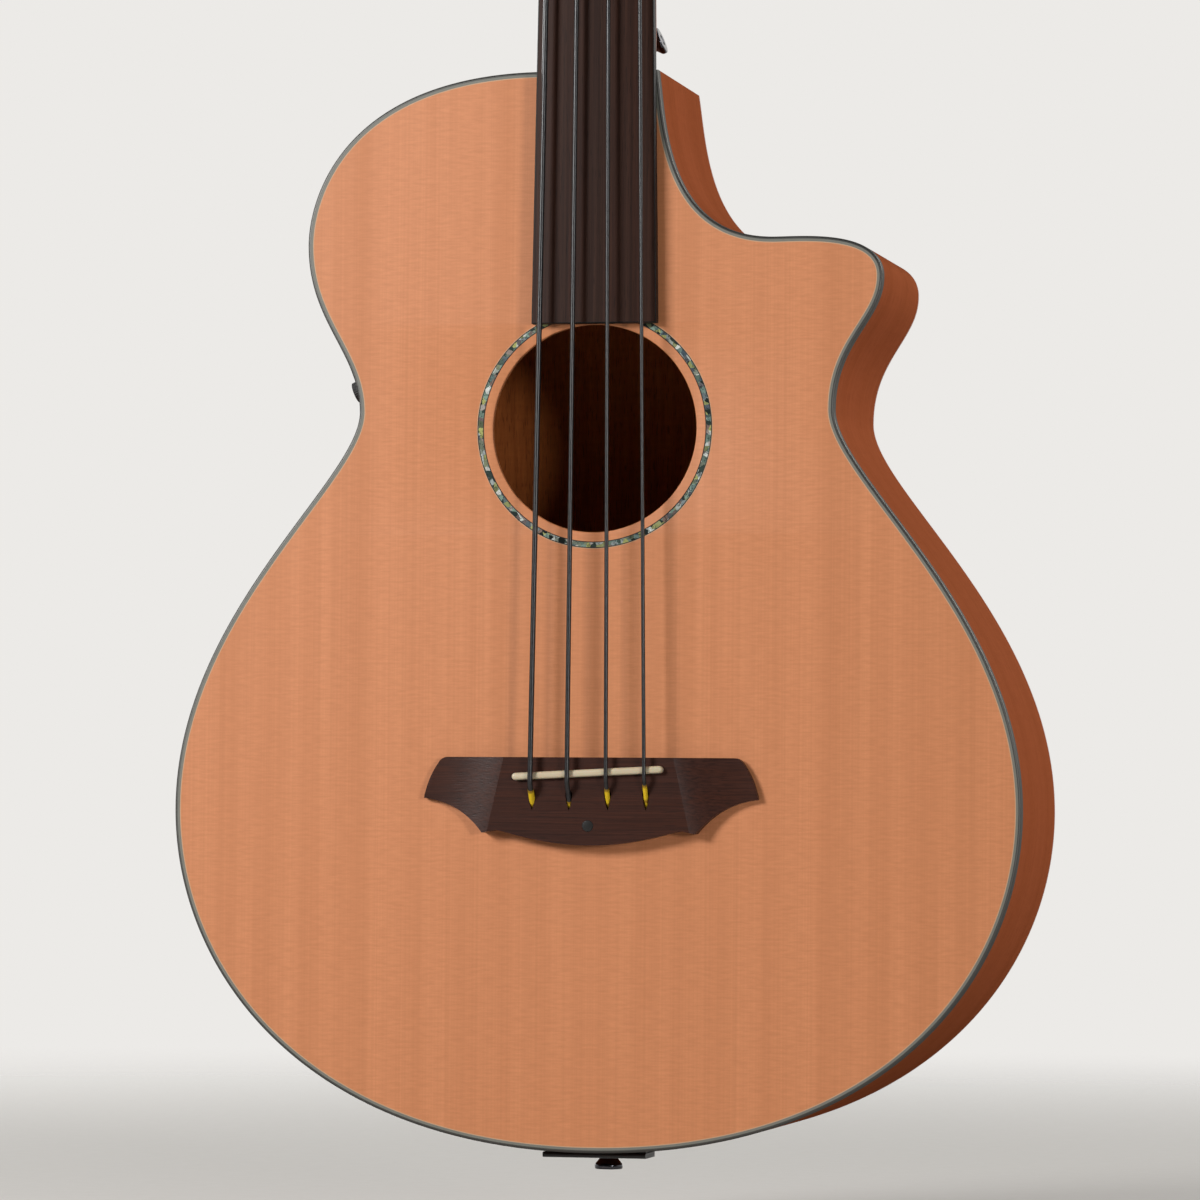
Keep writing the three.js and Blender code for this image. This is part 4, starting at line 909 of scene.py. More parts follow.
@dataclass(frozen=True)
class BodyPlan:
    """The body's outline and the shape of its back."""

    lower_half: float = 210.2
    lower_height: float = 166.5
    waist_half: float = 118.1
    waist_height: float = 360.5
    upper_half: float = 144.9
    upper_height: float = 443.4
    flat_half: float = 27.1
    tail_handle: float = 141.1
    lower_handle_below: float = 82.7
    lower_handle_above: float = 95.7
    waist_handle_below: float = 33.1
    waist_handle_above: float = 29.3
    upper_handle_below: float = 38.2
    upper_handle_above: float = 26.1
    shoulder_handle: float = 98.5
    corner_half: float = 30.2
    corner_handle_x: float = 3.6
    corner_handle_z: float = 22.7
    scoop_x: float = 88.4
    scoop_height: float = 444.4
    scoop_handle: float = 55.3
    horn_handle: float = 14.4
    tip_x: float = 141.6
    tip_height: float = 424.7
    tip_handle_above: float = 22.8
    tip_handle_below: float = 21.5
    cutaway_waist_handle: float = 33.1
    depth_at_neck: float = 106.5
    depth_at_tail: float = 125.2
    dome_radius: float = 3500.0
    side_thickness: float = 2.6
    back_thickness: float = 3.0
    hole_height: float = 351.9
    hole_radius: float = 50.6
    spacing: float = 2.6
    tail_z: float = field(default_factory=lambda: box_of("top_binding")[0].z)
    join_z: float = field(default_factory=lambda: box_of("top_binding")[1].z)

    @property
    def hole_z(self) -> float:
        """Z of the soundhole's centre."""
        return self.tail_z + self.hole_height

    def curve(self, points: Loop, first: Place, second: Place, end: Place, share: float = 1.0) -> None:
        """Adds a curve to the outline, from where it has got to.

        Args:
            points: The outline so far.
            first: The first handle.
            second: The second handle.
            end: The curve's end.
            share: The chords' length, as a share of the outline's spacing.
        """
        points += bezier(points[-1], first, second, end, self.spacing * share)

    def lower_side(self, side: int) -> Loop:
        """Returns the outline from the tail up to the waist on one side."""
        wide, narrow = side * self.lower_half, side * self.waist_half
        lower, waist = self.tail_z + self.lower_height, self.tail_z + self.waist_height
        points = [Vector((0, self.tail_z))]
        handle = (side * self.tail_handle, self.tail_z)
        self.curve(points, handle, (wide, lower - self.lower_handle_below), (wide, lower))
        handle = (narrow, waist - self.waist_handle_below)
        self.curve(points, (wide, lower + self.lower_handle_above), handle, (narrow, waist))
        return points

    def bass_side(self) -> Loop:
        """Returns the bass side's outline from the tail up to the neck."""
        points = self.lower_side(-1)
        x, upper = -self.upper_half, self.tail_z + self.upper_height
        handle = points[-1] + Vector((0, self.waist_handle_above))
        self.curve(points, handle, (x, upper - self.upper_handle_below), (x, upper))
        handle = (-self.flat_half - self.shoulder_handle, self.join_z)
        self.curve(points, (x, upper + self.upper_handle_above), handle, (-self.flat_half, self.join_z))
        return points

    def treble_side(self) -> Loop:
        """Returns the treble side's outline from the tail up to the neck, with the cutaway."""
        points = self.lower_side(1)
        tip, scoop = self.tail_z + self.tip_height, self.tail_z + self.scoop_height
        handle = points[-1] + Vector((0, self.cutaway_waist_handle))
        self.curve(points, handle, (self.tip_x, tip - self.tip_handle_below), (self.tip_x, tip))
        handle = (self.scoop_x + self.horn_handle, scoop)
        self.curve(points, (self.tip_x, tip + self.tip_handle_above), handle, (self.scoop_x, scoop), 0.5)
        handle = (self.corner_half + self.corner_handle_x, self.join_z - self.corner_handle_z)
        start = (self.scoop_x - self.scoop_handle, scoop)
        self.curve(points, start, handle, (self.corner_half, self.join_z), 0.5)
        return points

    def outline(self) -> tuple[Loop, int]:
        """Returns the whole outline, anticlockwise from the tail, and the number of its neck point."""
        treble = self.treble_side()
        bass = self.bass_side()[1:][::-1]
        return [*treble, Vector((0, self.join_z)), *bass], len(treble)

    def back_depth(self, x: float, z: float) -> float:
        """Returns Y of the back's outer face."""
        length = self.join_z - self.tail_z
        straight = blend_between(self.depth_at_neck, self.depth_at_tail, (self.join_z - z) / length)
        along = z - self.join_z + length / 2
        return straight + ((length / 2) ** 2 - x**2 - along**2) / (2 * self.dome_radius)


@dataclass
class Soundboard:
    """The cedar top with its soundhole, and the shell ring round the hole."""

    plan: BodyPlan
    edge_inset: float = 3.0
    thickness: float = 3.2
    rim: float = 0.7
    rosette_inner: float = 55.2
    rosette_outer: float = 58.4
    line_width: float = 0.45
    hairline: float = 0.3
    proud: float = 0.06
    depth: float = 0.4
    hole_steps: int = 120

    def ring(self, name: str, inner: float, outer: float, finish: Finish, slot: str, *nodes: str) -> None:
        """Inlays a ring round the soundhole."""
        rim, hole = (circle(0, self.plan.hole_z, radius, self.hole_steps) for radius in (outer, inner))
        fit(plate(name, rim, -self.proud, self.depth, [hole]), finish, slot, *nodes)

    def build(self) -> None:
        """Makes the top and the rosette."""
        plan = self.plan
        outline, _ = plan.outline()
        hole = circle(0, plan.hole_z, plan.hole_radius, self.hole_steps)
        board = plate(
            "soundboard_cedar", inset(outline, self.edge_inset), 0.0, self.thickness, [hole],
            hole_rim=self.rim
        )
        fit(board, CEDAR, "cedar", "soundboard")
        inner, outer = self.rosette_inner, self.rosette_outer
        line = self.line_width
        self.ring("rosette_shell", inner + line, outer - line, SHELL, "shell", "rosette_ring")
        self.ring("rosette_line_inner", inner, inner + line, LINE_DARK, "black_plastic")
        self.ring("rosette_line_outer", outer - line, outer, LINE_DARK, "black_plastic")
        self.ring("rosette_hairline", outer, outer + self.hairline, PLY_PALE, "cedar")


@dataclass
class Binding:
    """The bands round the soundboard's edge: a pale hairline, a grey band of painted reflection for the
    black binding's glossy top, and the black binding.
    """

    plan: BodyPlan
    black_width: float = 1.4
    # width of the grey band, a painted reflection of the black binding's glossy top
    grey_width: float = 1.2
    hair_width: float = 0.4
    height: float = 5.95
    ply_height: float = 3.0
    round_over: float = 1.15
    steps: int = 6

    def band(self, name: str, profile: Profile, finish: Finish, slot: str, *nodes: str) -> None:
        """Sweeps a profile of inset and depth pairs round the outline."""
        outline, _ = self.plan.outline()
        rings = [[Vector((p.x, y, p.y)) for p in inset(outline, distance)] for distance, y in profile]
        fit(loft(name, rings, along=True), finish, slot, *nodes)

    def build(self) -> None:
        """Makes the three bands."""
        corner = rounding(self.round_over, self.steps)
        grey = self.black_width + self.grey_width
        hair = grey + self.hair_width
        black = [(0.0, self.height), *corner, (self.black_width, 0.0), (self.black_width, self.height)]
        self.band("binding_black", black, BINDING_BLACK, "black_plastic", "top_binding")
        # the grey band is painted reflection standing for the black binding's glossy top; the hairline is a
        # pale ply
        for name, low, high, finish in (
            ("binding_ply_grey", self.black_width, grey, PAINTED_REFLECTION_GREY),
            ("binding_hairline", grey, hair, PLY_PALE)
        ):
            profile = [(low, 0.0), (high, 0.0), (high, self.ply_height), (low, self.ply_height)]
            self.band(name, profile, finish, "black_plastic" if finish is PAINTED_REFLECTION_GREY else "cedar")


@dataclass
class Ribs:
    """The two bent sides, from the binding to the back, opened for the battery box."""

    plan: BodyPlan
    front: float = 6.05
    back_gap: float = 0.05
    opening_clearance: float = 0.35
    levels: int = 6

    def half(self, name: str, first: int, last: int, loop: Loop, inner: Loop) -> Object:
        """Makes one side from a stretch of the outline."""
        plan = self.plan
        rings: list[Ring] = []
        uvs: Pairs = []
        travelled = 0.0
        before = loop[first % len(loop)]
        for number in range(first, last + 1):
            outside, inside = loop[number % len(loop)], inner[number % len(inner)]
            travelled += (outside - before).length
            before = outside
            rears = [
                plan.back_depth(p.x, p.y) - plan.back_thickness - self.back_gap for p in (outside, inside)
            ]
            ring = [Vector((outside.x, y, outside.y)) for y in spaced(self.front, rears[0], self.levels)]
            ring += [Vector((inside.x, rears[1], inside.y)), Vector((inside.x, self.front, inside.y))]
            rings.append(ring)
            uvs += [(travelled, p.y) for p in ring]
        return loft(name, rings, uvs=uvs)

    def opening(self, node: str, reach: Vector) -> Object:
        """Makes a box round a solid, stretched so that it passes through the side."""
        low, high = box_of(node)
        gap = Vector((self.opening_clearance,) * 3)
        low, high = low - gap - reach, high + gap + reach
        corners = [
            Vector((x, y, z)) for x in (low.x, high.x) for y in (low.y, high.y) for z in (low.z, high.z)
        ]
        faces = [(0, 1, 3, 2), (4, 5, 7, 6), (0, 1, 5, 4), (2, 3, 7, 6), (0, 2, 6, 4), (1, 3, 7, 5)]
        return make_mesh(node + "_opening", corners, faces)

    def build(self) -> None:
        """Makes both sides."""
        plan = self.plan
        loop, neck = plan.outline()
        inner = inset(loop, plan.side_thickness)
        treble = self.half("rib_treble", 0, neck, loop, inner)
        bass = self.half("rib_bass", neck, len(loop), loop, inner)
        down = Vector((0, 0, plan.side_thickness))
        for rib in (treble, bass):
            carved(rib, [self.opening("battery_box", down)])
        fit(treble, MAHOGANY_RIB, "mahogany", "side_treble")
        fit(bass, MAHOGANY_RIB, "mahogany", "side_bass")


@dataclass
class BackPlate:
    """The domed, bookmatched back, with a softened rim."""

    plan: BodyPlan
    rim: float = 1.3
    rim_steps: int = 4
    centre_z: float = -760.0
    shares: tuple[float, ...] = (0.985, 0.96, 0.92, 0.86, 0.78, 0.68, 0.56, 0.43, 0.3, 0.18, 0.08)

    def level(self, loop: Loop, behind: float, share: float = 1.0) -> Ring:
        """Returns a loop drawn in towards the centre, laid some way in front of the dome's face."""
        ring = []
        for p in loop:
            x = p.x * share
            z = blend_between(self.centre_z, p.y, share)
            ring.append(Vector((x, self.plan.back_depth(x, z) - behind, z)))
        return ring

    def build(self) -> None:
        """Makes the back."""
        plan = self.plan
        loop, _ = plan.outline()
        thick = plan.back_thickness
        rim = [self.level(inset(loop, across), down) for across, down in rounding(self.rim, self.rim_steps)]
        inner_rings = [self.level(loop, thick, share) for share in reversed(self.shares)]
        outer_rings = [self.level(inset(loop, self.rim), 0.0, share) for share in self.shares]
        rings = [*inner_rings, self.level(loop, thick), *rim, *outer_rings]
        points = sum(rings, [])
        across = len(loop)
        faces: list[tuple[int, ...]] = loft_faces(len(rings), across, True, False)
        middle = plan.back_depth(0, self.centre_z)
        for offset, ring in ((thick, 0), (0.0, len(rings) - 1)):
            centre = len(points)
            points.append(Vector((0, middle - offset, self.centre_z)))
            first = ring * across
            faces += [(centre, first + i, first + (i + 1) % across) for i in range(across)]
        back = make_mesh("back_mahogany", points, faces)
        fit(back, MAHOGANY_BACK, "mahogany", "back_plate")
        back.data.materials.append(MAHOGANY_RAW.material())
        for face in back.data.polygons:
            face.material_index = int(face.normal.y < -0.5)


@dataclass
class Insides:
    """Braces, linings and blocks, which show through the soundhole."""

    braces: tuple[str, ...] = (
        "cross_brace_bass", "cross_brace_treble", "transverse_brace", "tone_bar", "bridge_plate",
        "back_brace_upper", "back_brace_middle", "back_brace_lower"
    )

    def build(self) -> None:
        """Dresses the solids that stay in view inside the body."""
        for node in self.braces:
            dress(node, SPRUCE, 0.8)
        for node in ("lining_top", "lining_back"):
            dress(node, SPRUCE, 0.0)
        for node in ("neck_block", "tail_block"):
            dress(node, MAHOGANY_RAW, 0.0)


@dataclass
class Bridge:
    """The rosewood bridge: a raised middle between two hollowed wings, saddle, string slots and dot."""

    front: float = -8.9
    back: float = -0.3
    rise: float = 7.6
    drop: float = 35.0
    top_half: float = 74.4
    tip_half: float = 82.9
    tip_drop: float = 12.4
    point_half: float = 52.9
    point_drop: float = 29.2
    notch_half: float = 46.0
    notch_drop: float = 27.8
    corner_radius: float = 3.4
    side_bulge: float = 2.2
    wing_hollow: float = 6.4
    belly_handle: float = 24.0
    facet_top_half: float = 42.0
    facet_bottom_half: float = 51.6
    wing_thickness: float = 3.4
    wing_run: float = 34.0
    wing_pull_share: float = 0.4
    saddle_half: float = 37.4
    saddle_top: float = -12.2
    saddle_foot: float = -3.3
    slot_gap: float = 0.1
    slot_floor: float = -3.9
    slot_half: float = 1.75
    slot_start: float = 8.4
    slot_end: float = 18.2
    dot_radius: float = 2.7
    dot_drop: float = 25.6
    dot_depth: float = 1.5
    spacing: float = 1.2
    edge: float = 0.45
    edge_degrees: float = 32.0
    sharp_degrees: float = 14.0
    saddle_round: float = 1.3
    dot_round: float = 0.12
    dot_steps: int = 40
    end_steps: int = 12
    slot_steps: int = 10
    slot_waist: float = 0.62  # share of the slot's half width

    def outline(self) -> Loop:
        """Returns the bridge's outline."""
        top = SADDLE_Z + self.rise
        tip = SADDLE_Z - self.tip_drop
        point = SADDLE_Z - self.point_drop
        notch = SADDLE_Z - self.notch_drop
        belly = SADDLE_Z - self.drop
        radius = self.corner_radius
        x, z = (self.tip_half + self.point_half) / 2, (tip + point) / 2
        hollow = (x - self.wing_hollow / 2, z + self.wing_hollow)
        bulge = ((self.top_half + self.tip_half) / 2 + self.side_bulge, (top + tip) / 2)
        half = [Vector((0, belly))]
        handle = (self.notch_half - radius, notch)
        half += bezier(half[0], (self.belly_handle, belly), handle, (self.notch_half, notch), self.spacing)
        half.append(Vector((self.point_half, point)))
        for pull, end in (
            (hollow, (self.tip_half, tip)), (bulge, (self.top_half + radius / 2, top - radius)),
            ((self.top_half, top), (self.top_half - radius, top))
        ):
            half += quadratic(half[-1], pull, end, self.spacing)
        return half + mirror(half[1:])

    def wing_tool(self, side: int) -> Object:
        """Makes the scoop that hollows one wing."""
        full, low = self.front, self.back - self.wing_thickness
        run = self.wing_run
        far = run + self.tip_half
        curve = quadratic((0, full), (run * self.wing_pull_share, low), (run, low), self.spacing / 3)
        section = [Vector((0, full)), *curve]
        section += [Vector((far, low)), Vector((far, full * 2)), Vector((0, full * 2))]
        length = self.rise + self.drop
        lean = math.atan2(self.facet_bottom_half - self.facet_top_half, length)
        place = at(side * self.facet_top_half, 0, SADDLE_Z + self.rise, -side * lean)
        rings = [[Vector((side * p.x, p.y, z)) for p in section] for z in (self.rise, -2 * length)]
        return loft("wing_tool", rings, place=place)

    def saddle_plan(self, extra: float) -> Loop:
        """Returns the saddle's outline, with round ends."""
        radius = SADDLE_THICKNESS / 2 + extra
        middle = self.saddle_half - SADDLE_THICKNESS / 2
        ends = []
        for side in (1, -1):
            turns = [side * turn - side * QUARTER for turn in angles(math.pi, self.end_steps)]
            ends += [Vector((side * (middle + radius * math.cos(a)), radius * math.sin(a))) for a in turns]
        return ends

    def string_slot(self, x: float) -> Object:
        """Makes the tool for one string slot: round where the string dips in, and pointed behind."""
        start = SADDLE_Z - self.slot_start
        end = SADDLE_Z - self.slot_end
        half, waist = self.slot_half, self.slot_half * self.slot_waist
        turns = angles(math.pi, self.slot_steps)
        plan = [Vector((x + half * math.cos(a), start - half + half * math.sin(a))) for a in turns]
        level = (start + 2 * end) / 3
        plan += [Vector((x - waist, level)), Vector((x, end)), Vector((x + waist, level))]
        return plate("slot_tool", plan, self.front * 2, self.slot_floor)

    def build(self) -> None:
        """Makes the bridge, the saddle and the dot."""
        whole = plate("bridge_rosewood", self.outline(), self.front, self.back)
        above = self.front * 2
        place = at(0, 0, SADDLE_Z, -SADDLE_SLANT)
        slot = plate("saddle_tool", self.saddle_plan(self.slot_gap), above, self.slot_floor, place=place)
        dot_z, dot_floor = SADDLE_Z - self.dot_drop, self.front + self.dot_depth
        hole = plate(
            "dot_tool", circle(0, dot_z, self.dot_radius + self.slot_gap, self.dot_steps), above, dot_floor
        )
        tools = [self.wing_tool(1), self.wing_tool(-1), slot, hole]
        tools += [self.string_slot(x) for x in STRING_PLACES]
        carved(whole, tools)
        settled(bevelled(whole, self.edge, degrees=self.edge_degrees), self.sharp_degrees)
        fit(whole, ROSEWOOD_BRIDGE, "dark_wood", "bridge")
        saddle = plate(
            "saddle_bone", self.saddle_plan(0), self.saddle_top, self.saddle_foot, rim=self.saddle_round,
            place=place
        )
        fit(saddle, BONE, "bone", "saddle")
        dot = plate(
            "bridge_dot_inlay", circle(0, dot_z, self.dot_radius, self.dot_steps), self.front, dot_floor,
            rim=self.dot_round
        )
        fit(dot, LINE_DARK, "black_plastic", "bridge_dot")
        dress("saddle_pickup", STEEL, 0.2)


@dataclass
class StringSet:
    """Four tape-wound strings, from their ball ends in the bridge to their turns round the posts."""

    names: tuple[str, ...] = ("e", "a", "d", "g")
    diameters: tuple[float, ...] = (2.65, 2.4, 2.05, 1.9)
    nut_spacing: float = 11.3
    saddle_height: float = 12.2
    anchor_height: float = 4.6
    mouth_drop: float = 18.4
    anchor_drop: float = 25.0
    bend_reach: float = 2.2
    nut_clearance: float = 1.0
    turns: int = 2
    turn_steps: int = 48
    turn_gap: float = 0.55
    tail_length: float = 3.0
    ball_radius: float = 2.9
    ball_length: float = 4.6
    flange_height: float = 2.6
    silk_starts: tuple[float, ...] = (8.2, 13.2, 7.4, 5.2)
    silk_thickness: float = 0.16
    silk_tuck: float = 4.0
    silk_step: float = 0.6
    ball_round: float = 0.8
    shy: float = 0.01

    def winding(self, number: int, place: "TunerPlace", head: Matrix) -> Ring:
        """Returns the turns round a post, from where the string arrives."""
        diameter = self.diameters[number]
        radius = POST_RADIUS + RUNNING + diameter / 2
        start = self.flange_height + 2 * SEAT + diameter / 2
        pitch = diameter + self.turn_gap
        points = []
        for i in range(self.turns * self.turn_steps + 1):
            angle = WHOLE * i / self.turn_steps
            x = place.side * (place.x - radius * math.cos(angle))
            y = -start - pitch * i / self.turn_steps
            points.append(Vector((x, y, place.z + radius * math.sin(angle))))
        points.append(points[-1] + (points[-1] - points[-2]).normalized() * self.tail_length)
        return [head @ point for point in points]

    def bend(self, before: Vector, corner: Vector, after: Vector, steps: int = 6) -> Ring:
        """Returns a round bend at a corner between two straight runs."""
        start = corner + (before - corner).normalized() * self.bend_reach
        end = corner + (after - corner).normalized() * self.bend_reach
        return bent(start, corner, end, steps)

    def route(self, number: int, place: "TunerPlace", head: Matrix) -> Ring:
        """Returns a string's centre line."""
        radius = self.diameters[number] / 2
        index = number - (len(self.names) - 1) / 2
        x = STRING_PLACES[number]
        leaving = SADDLE_Z + x * math.tan(SADDLE_SLANT) - SADDLE_THICKNESS / 2 - self.bend_reach
        anchor = Vector((x, -self.anchor_height, SADDLE_Z - self.anchor_drop))
        mouth = Vector((x, -self.anchor_height, SADDLE_Z - self.mouth_drop))
        crest = Vector((x, -self.saddle_height - SEAT - radius, leaving))
        rest_y = -BOARD_FRONT - self.nut_clearance - SEAT - radius
        rest = Vector((index * self.nut_spacing, rest_y, NUT_LENGTH / 2))
        winding = self.winding(number, place, head)
        return [
            anchor, *self.bend(anchor, mouth, crest), *self.bend(mouth, crest, rest),
            *self.bend(crest, rest, winding[0]), *winding
        ]

    def build(self, places: Sequence["TunerPlace"], head: Matrix) -> None:
        """Makes the strings, their silk and their ball ends."""
        for number, name in enumerate(self.names):
            node = "string_" + name
            radius = self.diameters[number] / 2 - self.shy
            route = self.route(number, places[number], head)
            string = tube(node + "_tape", route, radius)
            fit(string, TAPE, "string", node)
            top, bottom = SADDLE_Z - self.silk_starts[number], SADDLE_Z - self.mouth_drop - self.silk_tuck
            stretch = self.between(route[1:9][::-1], route[0], top, bottom)
            silk = tube(node + "_silk", stretch, radius + self.silk_thickness)
            fit(silk, SILK, "string")
            place = at(route[0].x, -self.anchor_height, route[0].z + SEAT, QUARTER, "X")
            wide, low = self.ball_radius, -self.ball_length
            corners = [(0, low), (wide, low), (wide, 0), (0, 0)]
            fit(lathe(node + "_ball", corners, self.ball_round, 24, place), STEEL, "string")

    def between(self, run: Ring, anchor: Vector, top: float, bottom: float) -> Ring:
        """Returns the stretch of a run between two heights, closely stepped."""
        line = [*run, anchor]
        points = []
        for a, b in zip(line, line[1:]):
            steps = max(2, int((b - a).length / self.silk_step))
            points += [a.lerp(b, k / steps) for k in range(steps)]
        return [p for p in points if bottom <= p.z <= top]


# The neck


@dataclass(frozen=True)
class TunerPlace:
    """Where a tuner stands on the headstock."""

    name: str
    side: int
    x: float
    z: float


TUNER_PLACES = (
    TunerPlace("e", -1, 24.0, 52.0), TunerPlace("a", -1, 19.0, 132.0), TunerPlace("d", 1, 19.0, 132.0),
    TunerPlace("g", 1, 24.0, 52.0)
)


@dataclass
class Neck:
    """The carved neck from heel to headstock, with its face veneer, nut and truss rod cover."""

    plan: BodyPlan
    board_end_half: float = 31.6
    nut_depth: float = 15.5
    join_depth: float = 19.0
    heel_foot: float = 6.0
    heel_length: float = 56.0
    heel_share: float = 0.94
    blade_share: float = 0.7
    taper_share: float = 0.25
    blade_power: float = 8.0
    mix_power: float = 3.0
    tilt: float = 0.19
    tilt_run: float = 60.0
    head_front: float = 2.3
    head_thickness: float = 14.0
    head_length: float = 184.0
    shoulder_half: float = 38.0
    shoulder_height: float = 36.0
    top_half: float = 29.0
    top_dip: float = 7.0
    corner: float = 2.4
    veneer: float = 2.0
    veneer_round: float = 0.4
    gap: float = 0.3  # to the body, and from the nut to the veneer
    crown_start: float = 140.0  # where the head's sections start to follow its top edge
    heel_steps: int = 34
    shaft_steps: int = 60
    shoulder_steps: int = 40
    top_steps: int = 24
    side_steps: int = 5
    corner_steps: int = 7
    back_steps: int = 24

    @property
    def head(self) -> Matrix:
        """The headstock's own frame."""
        return at(0, 0, NUT_LENGTH, -self.tilt, "X")

    def board_half(self, z: float) -> float:
        """Returns the fingerboard's half width."""
        return NUT_HALF - (self.board_end_half - NUT_HALF) * z / BOARD_LENGTH

    def shaft_ring(self, z: float) -> Loop:
        """Returns a section of shaft or heel as side and depth pairs, from treble to bass edge."""
        plan = self.plan
        heel_top = plan.join_z + self.heel_foot + self.heel_length
        shaft = blend_between(self.nut_depth, self.join_depth, clamp(z / plan.join_z))
        heel = clamp((heel_top - z) / self.heel_length)
        deep = plan.depth_at_neck * self.heel_share - shaft
        whole = shaft + deep * (1 - math.sqrt(1 - heel**2))
        half = self.board_half(z)
        from_top = clamp((heel_top - z) / (heel_top - plan.join_z))
        section = []
        for angle in angles(math.pi, self.ring_steps):
            level = math.sin(angle)
            y = level * whole
            round_half = half * math.sqrt(1 - (y / shaft) ** 2) if y < shaft else 0.0
            blade = half * self.blade_share * from_top * (1 - self.taper_share * y / whole)
            started = min(1.0, y / shaft)
            narrow = blade * started * math.sqrt(max(0.0, 1 - level**self.blade_power))
            mixed = (round_half**self.mix_power + narrow**self.mix_power) ** (1 / self.mix_power)
            side = math.cos(angle)
            sign = 0.0 if abs(side) < 1e-9 else math.copysign(1.0, side)
            section.append(Vector((sign * min(half, mixed), y)))
        return section

    @property
    def ring_steps(self) -> int:
        """Chords in a section from its treble to its bass edge."""
        return 2 * (self.side_steps + self.corner_steps) + self.back_steps

    def slab_ring(self, half: float, thick: float) -> Loop:
        """Returns a headstock section: straight sides, rounded back corners and a flat back."""
        radius = self.corner
        right = [Vector((half, (thick - radius) * i / self.side_steps)) for i in range(self.side_steps)]
        edge = rounding(radius, self.corner_steps)[:-1]
        right += [Vector((half - across, thick - down)) for across, down in edge]
        back = [Vector((x, thick)) for x in spaced(half - radius, radius - half, self.back_steps)]
        return right + back + mirror(right)

    def head_half(self, s: float) -> float:
        """Returns the headstock's half width at a distance from the nut."""
        if s >= self.shoulder_height:
            share = (s - self.shoulder_height) / (self.head_length - self.shoulder_height)
            return blend_between(self.shoulder_half, self.top_half, share)
        wide, high = self.shoulder_half, self.shoulder_height
        curve = bezier((NUT_HALF, 0), (NUT_HALF, high / 2), (wide, high / 2), (wide, high), 1.0)
        points = [Vector((NUT_HALF, 0)), *curve]
        for a, b in zip(points, points[1:]):
            if s <= b.y:
                return blend_between(a.x, b.x, (s - a.y) / max(1e-6, b.y - a.y))
        return self.shoulder_half

    def dip(self, x: float, half: float) -> float:
        """Returns how far the headstock's top edge lies below its corners."""
        return self.top_dip * (1 - clamp(abs(x) / half) ** 2)

    def closed_ring(self, section: Loop, place: Matrix, front: float, z: Callable[[float], float]) -> Ring:
        """Closes a section across its front and puts it in its frame."""
        back = [Vector((p.x, front + p.y, z(p.x))) for p in section]
        face = [Vector((p.x, front, z(p.x))) for p in section[-2:0:-1]]
        return [place @ point for point in back + face]

    def rings(self) -> list[Ring]:
        """Returns the sections from the heel's end to the headstock's top."""
        plan = self.plan
        low = plan.join_z + self.gap
        heel_top = plan.join_z + self.heel_foot + self.heel_length
        heights = [low, low + self.heel_foot / 2]
        heights += [heel_top - self.heel_length * math.cos(a) for a in angles(QUARTER, self.heel_steps)]
        heights += spaced(heel_top, NUT_LENGTH, self.shaft_steps)[1:]
        made = []
        for z in heights:
            lean = -self.tilt * smooth_step((z + self.tilt_run) / (self.tilt_run + NUT_LENGTH))
            place = at(0, 0, z, lean, "X")
            made.append(self.closed_ring(self.shaft_ring(z), place, 0.0, lambda x: 0.0))
        distances = [0.05] + [1.5 * i for i in range(1, 25)] + [
            42, 60, 80, 100, 120, 140, 155, 165, 172, 178, 184
        ]
        for s in distances:
            half = self.head_half(s)
            morph = smooth_step(s / self.shoulder_height)
            slab = self.slab_ring(half, self.head_thickness)
            depth = self.nut_depth - self.head_front
            section = []
            for angle, flat in zip(angles(math.pi, self.ring_steps), slab):
                rounded = Vector((half * math.cos(angle), depth * math.sin(angle)))
                section.append(rounded.lerp(flat, morph))
            top = smooth_step((s - self.crown_start) / (self.head_length - self.crown_start))
            made.append(
                self.closed_ring(section, self.head, self.head_front, lambda x: s - top * self.dip(x, half))
            )
        return made

    def head_plan(self, low: float) -> Loop:
        """Returns the headstock's outline above a distance from the nut."""
        count, rise = self.shoulder_steps, self.shoulder_height - low
        right = [Vector((self.head_half(s), s)) for s in (low + rise * i / count for i in range(count + 1))]
        edge = spaced(self.top_half, -self.top_half, self.top_steps)
        top = [Vector((x, self.head_length - self.dip(x, self.top_half))) for x in edge]
        return right + top + mirror(right)

    def build(self) -> None:
        """Makes the neck and dresses the pieces on it."""
        rings = self.rings()
        across = len(rings[0])
        steps = self.ring_steps
        points = sum(rings, [])
        faces: list[tuple[int, ...]] = loft_faces(len(rings), across, True, False)
        for number in (0, len(rings) - 1):
            first = number * across
            for i in range(steps):
                near = first + (across - i) % across
                far = first + (across - i - 1 if i < steps - 1 else steps)
                corners = [first + i, first + i + 1, far, near]
                faces.append(tuple(dict.fromkeys(corners)))
        neck = make_mesh("neck_mahogany", points, [f for f in faces if len(f) > 2])
        fit(neck, MAHOGANY_NECK, "mahogany", "neck")
        veneer = plate(
            "headstock_veneer", self.head_plan(self.gap), 0.0, self.veneer, rim=self.veneer_round,
            place=self.head
        )
        fit(veneer, ROSEWOOD_VENEER, "dark_wood", "headstock_face")
        dress("nut", BONE, 0.5)
        dress("truss_rod", STEEL, 0.2)
        dress("truss_rod_cover", ABS_BLACK, 0.4)


